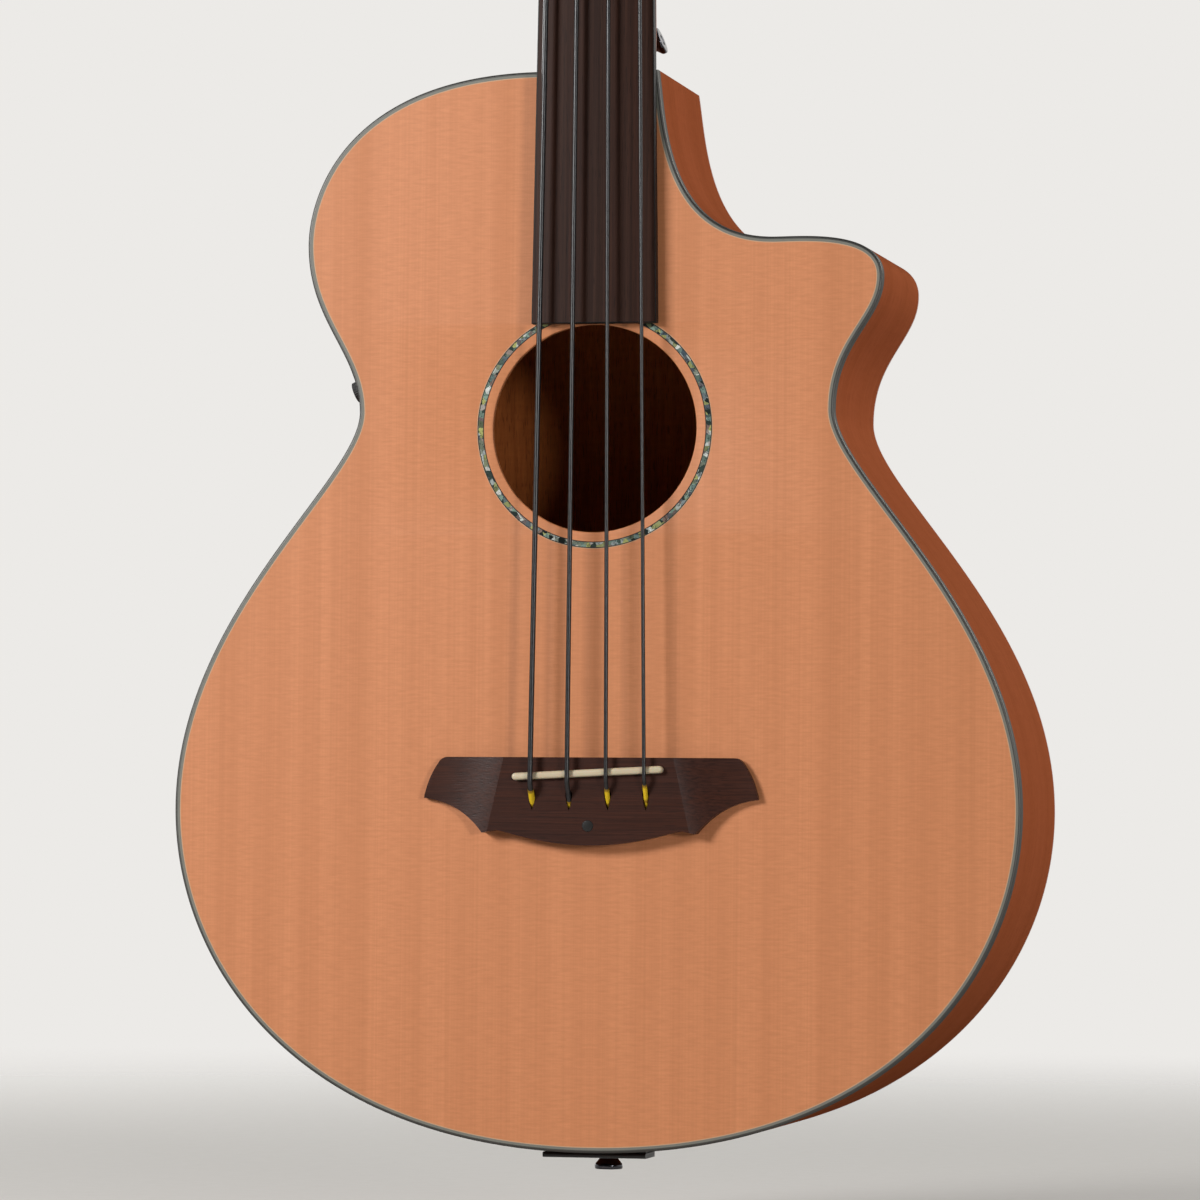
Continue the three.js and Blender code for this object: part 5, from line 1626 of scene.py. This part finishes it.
@dataclass
class Fingerboard:
    """The cambered rosewood board, and the black edging round its sides and lower end."""

    end_half: float = 31.1
    lean: float = 0.5
    back: float = 0.3
    camber: float = 1.1
    edging: float = 0.55
    round_over: float = 0.42
    across: int = 24
    down: int = 24

    def half(self, z: float) -> float:
        """Returns the board's half width."""
        return NUT_HALF - (self.end_half - NUT_HALF) * z / BOARD_LENGTH

    def centre(self, z: float) -> float:
        """Returns how far the board's centre line has leant to the treble side."""
        return -self.lean * z / BOARD_LENGTH

    def face(self, x: float, z: float) -> float:
        """Returns the depth of the cambered face."""
        return self.camber * ((x - self.centre(z)) / self.half(z)) ** 2 - BOARD_FRONT

    def edge(self) -> Loop:
        """Returns the sides and the lower end, from the nut's bass corner round to its treble corner."""
        side = [-self.back - (BOARD_LENGTH - self.back) * i / self.down for i in range(self.down + 1)]
        left = [Vector((self.centre(z) - self.half(z), z)) for z in side]
        right = [Vector((self.centre(z) + self.half(z), z)) for z in side[::-1]]
        low = [left[-1].lerp(right[0], i / self.across) for i in range(1, self.across)]
        return left + low + right

    def build(self) -> None:
        """Makes the board and its edging."""
        rings = []
        for z in spaced(-self.back, self.edging - BOARD_LENGTH, self.down):
            half = self.half(z) - self.edging
            middle = self.centre(z)
            row = [middle + x for x in spaced(-half, half, self.across)]
            front = [Vector((x, self.face(x, z), z)) for x in row]
            rings.append(front + [Vector((middle + side * half, -self.back, z)) for side in (1, -1)])
        fit(loft("fingerboard_rosewood", rings), ROSEWOOD_BOARD, "dark_wood", "fingerboard")
        profile: list[tuple[float, float | None]] = [(0.0, None), *rounding(self.round_over, 5)]
        profile += [(self.edging, 0.0), (self.edging, None)]
        edge = self.edge()
        stations: list[Ring] = [[] for _ in edge]
        for distance, behind in profile:
            for station, p, end in zip(stations, inset(edge, distance), edge):
                z = end.y if end in (edge[0], edge[-1]) else p.y
                y = -self.back if behind is None else self.face(p.x, z) + behind
                station.append(Vector((p.x, y, z)))
        fit(loft("fingerboard_binding", stations), EDGING_BLACK, "black_plastic", "fingerboard_edging")


@dataclass
class Tuner:
    """One tuner: base plate with ears and screws, post with its gear, bushing, and key with its worm."""

    place: TunerPlace
    head: Matrix
    head_back: float = 16.3
    plate_thickness: float = 1.8
    post_height: float = 19.6
    cap_radius: float = 5.9
    cap_height: float = 2.2
    slot_width: float = 3.0
    slot_depth: float = 1.4
    gear_thickness: float = 6.0
    gear_tip: float = 10.5
    gear_root: float = 8.9
    teeth: int = 20
    worm_radius: float = 4.2
    worm_root: float = 3.1
    worm_length: float = 11.0
    worm_rings: int = 3
    ear_thickness: float = 2.6
    shaft_radius: float = 2.4
    collar_radius: float = 4.0
    collar_length: float = 5.0
    key_reach: float = 34.0
    button_length: float = 17.0
    button_width: float = 24.0
    button_thickness: float = 8.0
    flange_radius: float = 8.6
    flange_height: float = 2.6
    sleeve_depth: float = 8.0
    wall: float = 1.2
    screw_radius: float = 2.3
    screw_height: float = 1.1
    screw_cross: tuple[float, float, float] = (0.62, 0.16, 0.45)  # shares: half length, half width, floor
    screw_x: float = 9.3
    screw_top: float = 9.8
    screw_low: float = -22.2
    tooth: tuple[float, float] = (0.36, 0.14)  # half widths of a tooth's foot and tip, as shares of a step
    button_powers: tuple[float, float, float] = (0.85, 0.7, 0.8)  # fullness up, across and round
    button_waist: float = 0.16
    button_rings: int = 28
    button_sides: int = 40
    button_lap: float = 1.5

    @property
    def frame(self) -> Matrix:
        """The tuner's own frame, with Y along the post."""
        return self.head @ at(self.place.side * self.place.x, 0, self.place.z)

    @property
    def worm_y(self) -> float:
        """Depth of the worm's axis."""
        return self.head_back + self.plate_thickness + self.worm_radius + 2 * SEAT

    def build_post(self) -> None:
        """Makes the slotted post with its gear."""
        top = -self.post_height
        gear_front = self.worm_y - self.gear_thickness / 2
        gear_back = self.worm_y + self.gear_thickness / 2
        radius, cap = POST_RADIUS, self.cap_radius
        neck = top + self.cap_height
        corners = [(0, top), (cap, top), (cap, neck), (radius, neck + cap - radius)]
        corners += [(radius, gear_back - SEAT), (0, gear_back - SEAT)]
        post = lathe("post", corners, 0.7, place=self.frame)
        plan = []
        step = WHOLE / self.teeth
        root, tip = self.gear_root, self.gear_tip
        foot, top_half = self.tooth
        for i in range(self.teeth):
            for share, reach in ((-foot, root), (-top_half, tip), (top_half, tip), (foot, root)):
                angle = (i + 0.5 + share) * step
                plan.append(Vector((reach * math.cos(angle), reach * math.sin(angle))))
        gear = plate("gear", plan, gear_front, gear_back, rim=0.25, place=self.frame)
        half = self.slot_width / 2
        slot = plate(
            "slot", rectangle(cap * 2, -half, half), top - 1, top + self.slot_depth, place=self.frame
        )
        carved(post, [slot])
        carved(post, [gear], joined=True)
        node = "tuner_post_" + self.place.name
        post.name = node + "_chrome"
        fit(post, CHROME, "chrome", node, body=node)

    def build_bushing(self) -> None:
        """Makes the bushing round the post."""
        inner = POST_RADIUS + RUNNING
        outer = inner + self.wall
        corners = [
            (inner, -SEAT - self.flange_height),
            (self.flange_radius - self.wall, -SEAT - self.flange_height), (self.flange_radius, -SEAT),
            (outer, -SEAT), (outer, self.sleeve_depth), (inner, self.sleeve_depth)
        ]
        node = "tuner_bushing_" + self.place.name
        bushing = lathe(node + "_chrome", corners, 0.35, place=self.frame)
        fit(bushing, CHROME, "chrome", node)

    def build_screws(self) -> None:
        """Makes the four screws that hold the base."""
        face = self.head_back + SEAT + self.plate_thickness
        places = [(side * self.screw_x, z) for side in (-1, 1) for z in (self.screw_top, self.screw_low)]
        radius, high = self.screw_radius, self.screw_height
        corners = [(0, -1), (radius * 0.5, -1), (radius, 0), (radius * 0.8, high), (0, high)]
        length, width, floor = self.screw_cross
        cross = rectangle(radius * length, -radius * width, radius * width)
        for number, (x, z) in enumerate(places, 1):
            seat = self.frame @ at(x, face, z)
            screw = lathe("screw", corners, 0.5, 20, seat)
            turned = (seat @ Matrix.Rotation(turn, 4, "Y") for turn in (0.0, QUARTER))
            carved(screw, [plate("cross", cross, high * floor, high + 1, place=place) for place in turned])
            screw.name = "tuner_screw_" + self.place.name + "_" + str(number)
            fit(screw, CHROME, "chrome")

    def build_key(self) -> None:
        """Makes the key: worm, shaft, collar and button along its own axis."""
        half = self.worm_length / 2
        inner = -(half + SEAT + self.ear_thickness + SEAT)
        button_start = self.key_reach - self.button_length / 2
        corners = [
            (0.0, inner), (self.shaft_radius, inner), (self.shaft_radius, -half), (self.worm_root, -half)
        ]
        pitch = self.worm_length / self.worm_rings
        for i in range(self.worm_rings):
            start = -half + i * pitch
            corners += [(self.worm_radius, start + pitch * 0.38), (self.worm_radius, start + pitch * 0.62)]
            corners += [(self.worm_root, start + pitch)]
        corners += [
            (self.shaft_radius, half), (self.shaft_radius, button_start - self.collar_length),
            (self.collar_radius, button_start - self.collar_length),
            (self.collar_radius * 0.86, button_start + self.button_lap),
            (0.0, button_start + self.button_lap)
        ]
        drop = self.gear_tip + self.worm_radius + SEAT
        outward = Matrix.Rotation(-self.place.side * QUARTER, 4, "Z")
        seat = self.frame @ at(0, self.worm_y, -drop) @ outward
        shaft = lathe("key", corners, 0.35, 40, seat, 2)
        rings = []
        up, across, round_power = self.button_powers
        for turn in angles(math.pi, self.button_rings)[1:-1]:
            latitude = turn - QUARTER
            level = math.copysign(abs(math.sin(latitude)) ** up, latitude)
            spread = math.cos(latitude) ** across
            ring = []
            for angle in angles(WHOLE, self.button_sides)[:-1]:
                wide = math.copysign(abs(math.cos(angle)) ** round_power, math.cos(angle))
                thick = math.copysign(abs(math.sin(angle)) ** round_power, math.sin(angle))
                waist = 1 - self.button_waist * (1 - abs(wide)) * (1 - level**2)
                x = self.button_width / 2 * spread * wide
                z = self.button_thickness / 2 * spread * thick * waist
                ring.append(Vector((x, self.key_reach + self.button_length / 2 * level, z)))
            rings.append(ring)
        button = loft("button", rings, place=seat)
        carved(shaft, [button], joined=True)
        node = "tuner_key_" + self.place.name
        shaft.name = node + "_chrome"
        fit(shaft, CHROME, "chrome", node, body=node)

    def build(self) -> None:
        """Makes the tuner."""
        self.build_post()
        self.build_bushing()
        self.build_screws()
        self.build_key()
        dress("tuner_base_" + self.place.name, CHROME, 0.35)


# Fittings


@dataclass
class ControlPanel:
    """The plate on the bass side with three knobs and a push button."""

    plan: BodyPlan
    start_height: float = 361.0
    start_half: float = 117.6
    end_height: float = 428.0
    end_half: float = 143.4
    middle_depth: float = 44.0
    proud: float = 2.2
    knob_radius: float = 5.8
    crown_radius: float = 5.1
    knob_height: float = 6.0
    stem: float = 2.4
    stem_depth: float = 4.0
    ridges: int = 30
    ridge_depth: float = 0.22
    knob_places: tuple[tuple[str, float, float], ...] = (
        ("volume_knob", 0.0, 16.5), ("bass_knob", 13.0, 30.5), ("treble_knob", 13.0, 44.5)
    )
    skirt: float = 1.0
    crown_bevel: float = 1.2
    dish: float = 0.35
    ridge_ends: tuple[float, ...] = (1.3, 0.6, 1.1, 0.4)  # gaps to base, top, rim and crown
    pointer: tuple[float, float, float] = (0.35, 1.2, 3.0)  # half width, start and end
    pointer_levels: tuple[float, float] = (0.45, 0.3)  # its floor and face, below the crown
    button_radius: float = 3.0
    button_height: float = 2.6
    button_depth: float = 4.5
    button_along: float = 58.0

    @property
    def frame(self) -> Matrix:
        """The panel's own frame: Z up its chord, -X out of its face."""
        angle = math.atan2(self.end_half - self.start_half, self.end_height - self.start_height)
        return at(-self.start_half, self.middle_depth, self.plan.tail_z + self.start_height, -angle)

    @property
    def base(self) -> float:
        """How far out a knob starts."""
        return self.proud + SEAT

    def ridge(self, radius: float, height: float, angle: float) -> float:
        """Returns how far a knob's grip is drawn in at a point of its profile and an angle."""
        start, end, rim, crown = self.ridge_ends
        side = self.base + start < height < self.base + self.knob_height - end
        if height <= self.base + rim or not (side or radius > self.crown_radius - crown):
            return 0.0
        return -self.ridge_depth * (0.5 - 0.5 * math.cos(self.ridges * angle))

    def out_of_panel(self, back: float, along: float) -> Matrix:
        """Returns a frame whose Y points out of the panel."""
        return self.frame @ at(0, back, along) @ Matrix.Rotation(QUARTER, 4, "Z")

    def build(self) -> None:
        """Makes the knobs and the button, and dresses the panel."""
        base = self.base
        top = base + self.knob_height
        floor = top - self.dish
        corners = [
            (0.0, base - self.stem_depth), (self.stem, base - self.stem_depth), (self.stem, base),
            (self.knob_radius, base), (self.knob_radius, base + self.skirt),
            (self.knob_radius - 0.25, base + 1.2), (self.crown_radius, top),
            (self.crown_radius - self.crown_bevel, top), (self.crown_radius - 1.8, floor), (0.0, floor)
        ]
        mark = rectangle(*self.pointer)
        deep, shallow = self.pointer_levels
        for name, back, along in self.knob_places:
            place = self.out_of_panel(back, along)
            knob = lathe(name + "_rubber", corners, 0.3, 180, place, reach=self.ridge, sharp_degrees=50)
            fit(knob, KNOB_BLACK, "black_plastic", name, body=name)
            pointer = plate(name + "_pointer", mark, top - deep, top - shallow, place=place)
            fit(pointer, BONE, "bone", body=name)
        high = self.proud + self.button_height
        low = high - self.button_depth - self.button_height
        corners = [(0.0, low), (self.button_radius, low), (self.button_radius, high), (0.0, high)]
        place = self.out_of_panel(0, self.button_along)
        button = lathe("tuner_button_cap", corners, 0.5, 40, place)
        fit(button, KNOB_BLACK, "black_plastic", "tuner_button", body="tuner_button")
        dress("control_panel", ABS_BLACK, 0.6)
        dress("control_housing", ABS_BLACK, 0.4)


@dataclass
class TailFittings:
    """The battery door under the tail, and the end pin with its socket."""

    plan: BodyPlan
    setback: float = 46.0
    proud: float = 10.1
    flange_radius: float = 6.9
    flange_height: float = 2.4
    waist_radius: float = 4.4
    waist_height: float = 5.4
    base_radius: float = 6.2
    base_height: float = 1.4
    shank_radius: float = 4.7
    shank_length: float = 30.0
    bore_radius: float = 3.3
    edge: float = 0.8

    def build(self) -> None:
        """Makes the end pin and dresses the battery's pieces."""
        face = -self.proud
        corners = [
            (self.bore_radius, face), (self.flange_radius, face),
            (self.flange_radius, face + self.flange_height), (self.waist_radius, face + self.waist_height),
            (self.base_radius, -SEAT - self.base_height), (self.base_radius, -SEAT),
            (self.shank_radius, -SEAT), (self.shank_radius, self.shank_length),
            (self.bore_radius, self.shank_length)
        ]
        place = at(0, self.setback, self.plan.tail_z, QUARTER, "X")
        pin = lathe("end_pin_chrome", corners, self.edge, 64, place, 4)
        # the pin's chrome is darkened: painted dark reflection
        fit(pin, CHROME_DARK_PAINTED_REFLECTION, "chrome", "end_pin")
        dress("battery_door", ABS_BLACK, 0.5)
        dress("battery_box", ABS_BLACK, 0.0)
        dress("battery", BATTERY_CASE, 0.8)


@dataclass
class HeelButton:
    """The strap button on the treble side of the heel."""

    plan: BodyPlan
    rise: float = 14.8
    setback: float = 35.0
    seat_x: float = 14.8
    tilt: float = 0.38
    length: float = 11.5
    flange_radius: float = 6.7
    flange_height: float = 2.4
    waist_radius: float = 3.9
    base_radius: float = 5.6
    base_height: float = 1.5
    screw_radius: float = 2.2
    screw_length: float = 20.0
    recess: tuple[float, float] = (0.5, 0.2)  # of the screw's rim and middle
    edge: float = 0.8

    def build(self) -> None:
        """Makes the button with its screw."""
        corners = [
            (0.0, -self.screw_length), (self.screw_radius, -self.screw_length), (self.screw_radius, SEAT),
            (self.base_radius, SEAT), (self.base_radius, SEAT + self.base_height),
            (self.waist_radius, (self.length + self.base_height) / 2),
            (self.flange_radius, self.length - self.flange_height), (self.flange_radius, self.length),
            (self.screw_radius + 0.6, self.length), (self.screw_radius + 0.4, self.length - self.recess[0]),
            (0.0, self.length - self.recess[1])
        ]
        axis = Vector((math.cos(self.tilt), 0, math.sin(self.tilt)))
        turn = Vector((0, 1, 0)).rotation_difference(axis).to_matrix().to_4x4()
        place = at(self.seat_x, self.setback, self.plan.join_z + self.rise) @ turn
        button = lathe("heel_button_chrome", corners, self.edge, 64, place, 4)
        # the button's chrome is darkened: painted dark reflection
        fit(button, CHROME_DARK_PAINTED_REFLECTION, "chrome", "heel_button")


# Studio


@dataclass(frozen=True)
class Lamp:
    """A soft lamp: the way to it, its distance and size in metres, and the level it gives."""

    name: str
    way: tuple[float, float, float]
    distance: float
    size: float
    level: float


@dataclass
class Studio:
    """A plain pale floor, soft lamps and the camera."""

    aim: tuple[float, float, float] = (0.00347, 0.0, -0.77941)
    camera_place: tuple[float, float, float] = (0.5969, -2.754, -0.8845)
    camera_up: tuple[float, float, float] = (0.000788, -0.037964, 0.999279)
    lens: float = 174.0
    sensor: float = 36.0
    floor_z: float = -1.1
    floor_half: float = 3.0
    floor_colour: str = "#DEDBD6"
    grit_colour: str = "#D8D5CF"
    bounce_colour: str = "#8E8C89"
    backdrop_colour: str = "#ECEAE7"
    room_colour: str = "#3C3A38"
    ambient: float = 0.05
    room_reach: tuple[float, float] = (0.25, -0.35)  # where the room starts and is whole, towards the front
    fade: tuple[float, float] = (0.45, 0.95)  # where the floor fades, as shares of its half width
    clip_end: float = 60.0
    lamps: tuple[Lamp, ...] = (
        Lamp("key", (-0.62, -0.76, 0.34), 1.9, 0.58, 0.76),
        Lamp("second", (0.67, -0.73, 0.08), 2.6, 0.42, 0.27),
        Lamp("rear_right", (0.78, 0.5, 0.52), 3.4, 1.9, 0.52),
        Lamp("rear_left", (-0.7, 0.68, 0.3), 3.4, 1.6, 0.4)
    )

    def add_lamp(self, lamp: Lamp) -> None:
        """Hangs a lamp so that a white surface facing it shows its level."""
        data = bpy.data.lights.new(lamp.name, "AREA")
        data.shape = "DISK"
        data.size = lamp.size
        data.energy = lamp.level * math.pi**2 * lamp.distance**2
        obj = placed(lamp.name, data)
        way = Vector(lamp.way).normalized()
        obj.location = Vector(self.aim) + way * lamp.distance
        obj.rotation_euler = way.to_track_quat("Z", "Y").to_euler()

    def mirrored(self, tree: Tree) -> Socket:
        """Returns a socket that is 1 for rays that glossy or clear surfaces send out."""
        rays = ("Is Glossy Ray", "Is Transmission Ray")
        links = {number: add_node(tree, "LightPath", output=ray) for number, ray in enumerate(rays)}
        return add_node(tree, "Math", {}, links, operation="MAXIMUM")

    def seen(self, tree: Tree) -> Socket:
        """Returns a socket that is 1 for what the camera sees, straight or mirrored."""
        links = {0: add_node(tree, "LightPath", output="Is Camera Ray"), 1: self.mirrored(tree)}
        return add_node(tree, "Math", {}, links, operation="MAXIMUM")

    def add_world(self) -> None:
        """Sets a pale backdrop, a dim room before it that only reflections show, and a low even light."""
        world = bpy.data.worlds.new("studio")
        bpy.context.scene.world = world
        tree = emptied(world)
        way = add_node(tree, "SeparateXYZ", {}, {0: add_node(tree, "TexCoord", output="Generated")}, "Y")
        ends = dict(zip(("From Min", "From Max"), self.room_reach))
        room = add_node(tree, "MapRange", ends, {"Value": way}, interpolation_type="SMOOTHSTEP")
        in_front = add_node(tree, "Math", {}, {0: room, 1: self.mirrored(tree)}, operation="MULTIPLY")
        tones = {MIX_A: linear(self.backdrop_colour), MIX_B: linear(self.room_colour)}
        tone = add_node(tree, "Mix", tones, {0: in_front}, MIX_RESULT, data_type="RGBA")
        shown = add_node(tree, "Background", {"Strength": 1.0}, {"Color": tone})
        light = add_node(tree, "Background", {"Color": linear("#FFFFFF"), "Strength": self.ambient})
        mixed = add_node(tree, "MixShader", {}, {0: self.seen(tree), 1: light, 2: shown})
        add_node(tree, "OutputWorld", links={"Surface": mixed})

    def add_floor(self) -> None:
        """Lays a plain painted floor that fades into the backdrop at its edge and is clear from below."""
        half = self.floor_half / MM
        corners = [Vector((p.x, p.y, self.floor_z / MM)) for p in rectangle(half, -half, half)]
        floor = make_mesh("floor", corners, [(0, 1, 2, 3)])
        material = bpy.data.materials.new("plaster_painted_pale")
        tree = emptied(material)
        place = add_node(tree, "NewGeometry", output="Position")
        grit = add_node(tree, "TexNoise", {"Scale": 90.0, "Detail": 3.0}, {"Vector": place})
        tones = {MIX_A: linear(self.floor_colour), MIX_B: linear(self.grit_colour)}
        links = {MIX_B: add_node(tree, "Mix", tones, {0: grit}, MIX_RESULT, data_type="RGBA")}
        tones = {MIX_A: linear(self.bounce_colour)}
        colour = add_node(tree, "Mix", tones, {0: self.seen(tree), **links}, MIX_RESULT, data_type="RGBA")
        paint = add_node(tree, "BsdfPrincipled", {"Roughness": 0.9}, {"Base Color": colour})
        reach = add_node(tree, "VectorMath", {}, {0: place}, "Value", operation="LENGTH")
        start, end = (self.floor_half * share for share in self.fade)
        ends = {"From Min": start, "From Max": end}
        fade = add_node(tree, "MapRange", ends, {"Value": reach}, interpolation_type="SMOOTHSTEP")
        links = {0: fade, 1: add_node(tree, "NewGeometry", output="Backfacing")}
        cleared = add_node(tree, "Math", {}, links, operation="MAXIMUM")
        links = {0: cleared, 1: paint, 2: add_node(tree, "BsdfTransparent")}
        surface = add_node(tree, "MixShader", {}, links)
        add_node(tree, "OutputMaterial", links={"Surface": surface})
        floor.data.materials.append(material)

    def add_camera(self) -> None:
        """Sets the camera where the object was photographed from."""
        data = bpy.data.cameras.new("camera")
        data.lens = self.lens
        data.sensor_width = self.sensor
        data.clip_end = self.clip_end
        camera = placed("camera", data)
        place = Vector(self.camera_place)
        back = (place - Vector(self.aim)).normalized()
        side = Vector(self.camera_up).cross(back).normalized()
        up = back.cross(side)
        turn = Matrix((side, up, back)).transposed().to_4x4()
        camera.matrix_world = Matrix.Translation(place) @ turn
        bpy.context.scene.camera = camera

    def build(self) -> None:
        """Sets the stage."""
        bpy.context.scene.view_settings.view_transform = "Standard"
        self.add_world()
        self.add_floor()
        self.add_camera()
        for lamp in self.lamps:
            self.add_lamp(lamp)


def main() -> None:
    """Builds the instrument's pieces in order, then the studio."""
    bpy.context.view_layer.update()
    plan = BodyPlan()
    neck = Neck(plan)
    Soundboard(plan).build()
    Binding(plan).build()
    Ribs(plan).build()
    BackPlate(plan).build()
    Insides().build()
    Bridge().build()
    neck.build()
    Fingerboard().build()
    StringSet().build(TUNER_PLACES, neck.head)
    for place in TUNER_PLACES:
        Tuner(place, neck.head).build()
    ControlPanel(plan).build()
    TailFittings(plan).build()
    HeelButton(plan).build()
    Studio().build()


if __name__ == "__main__":
    main()
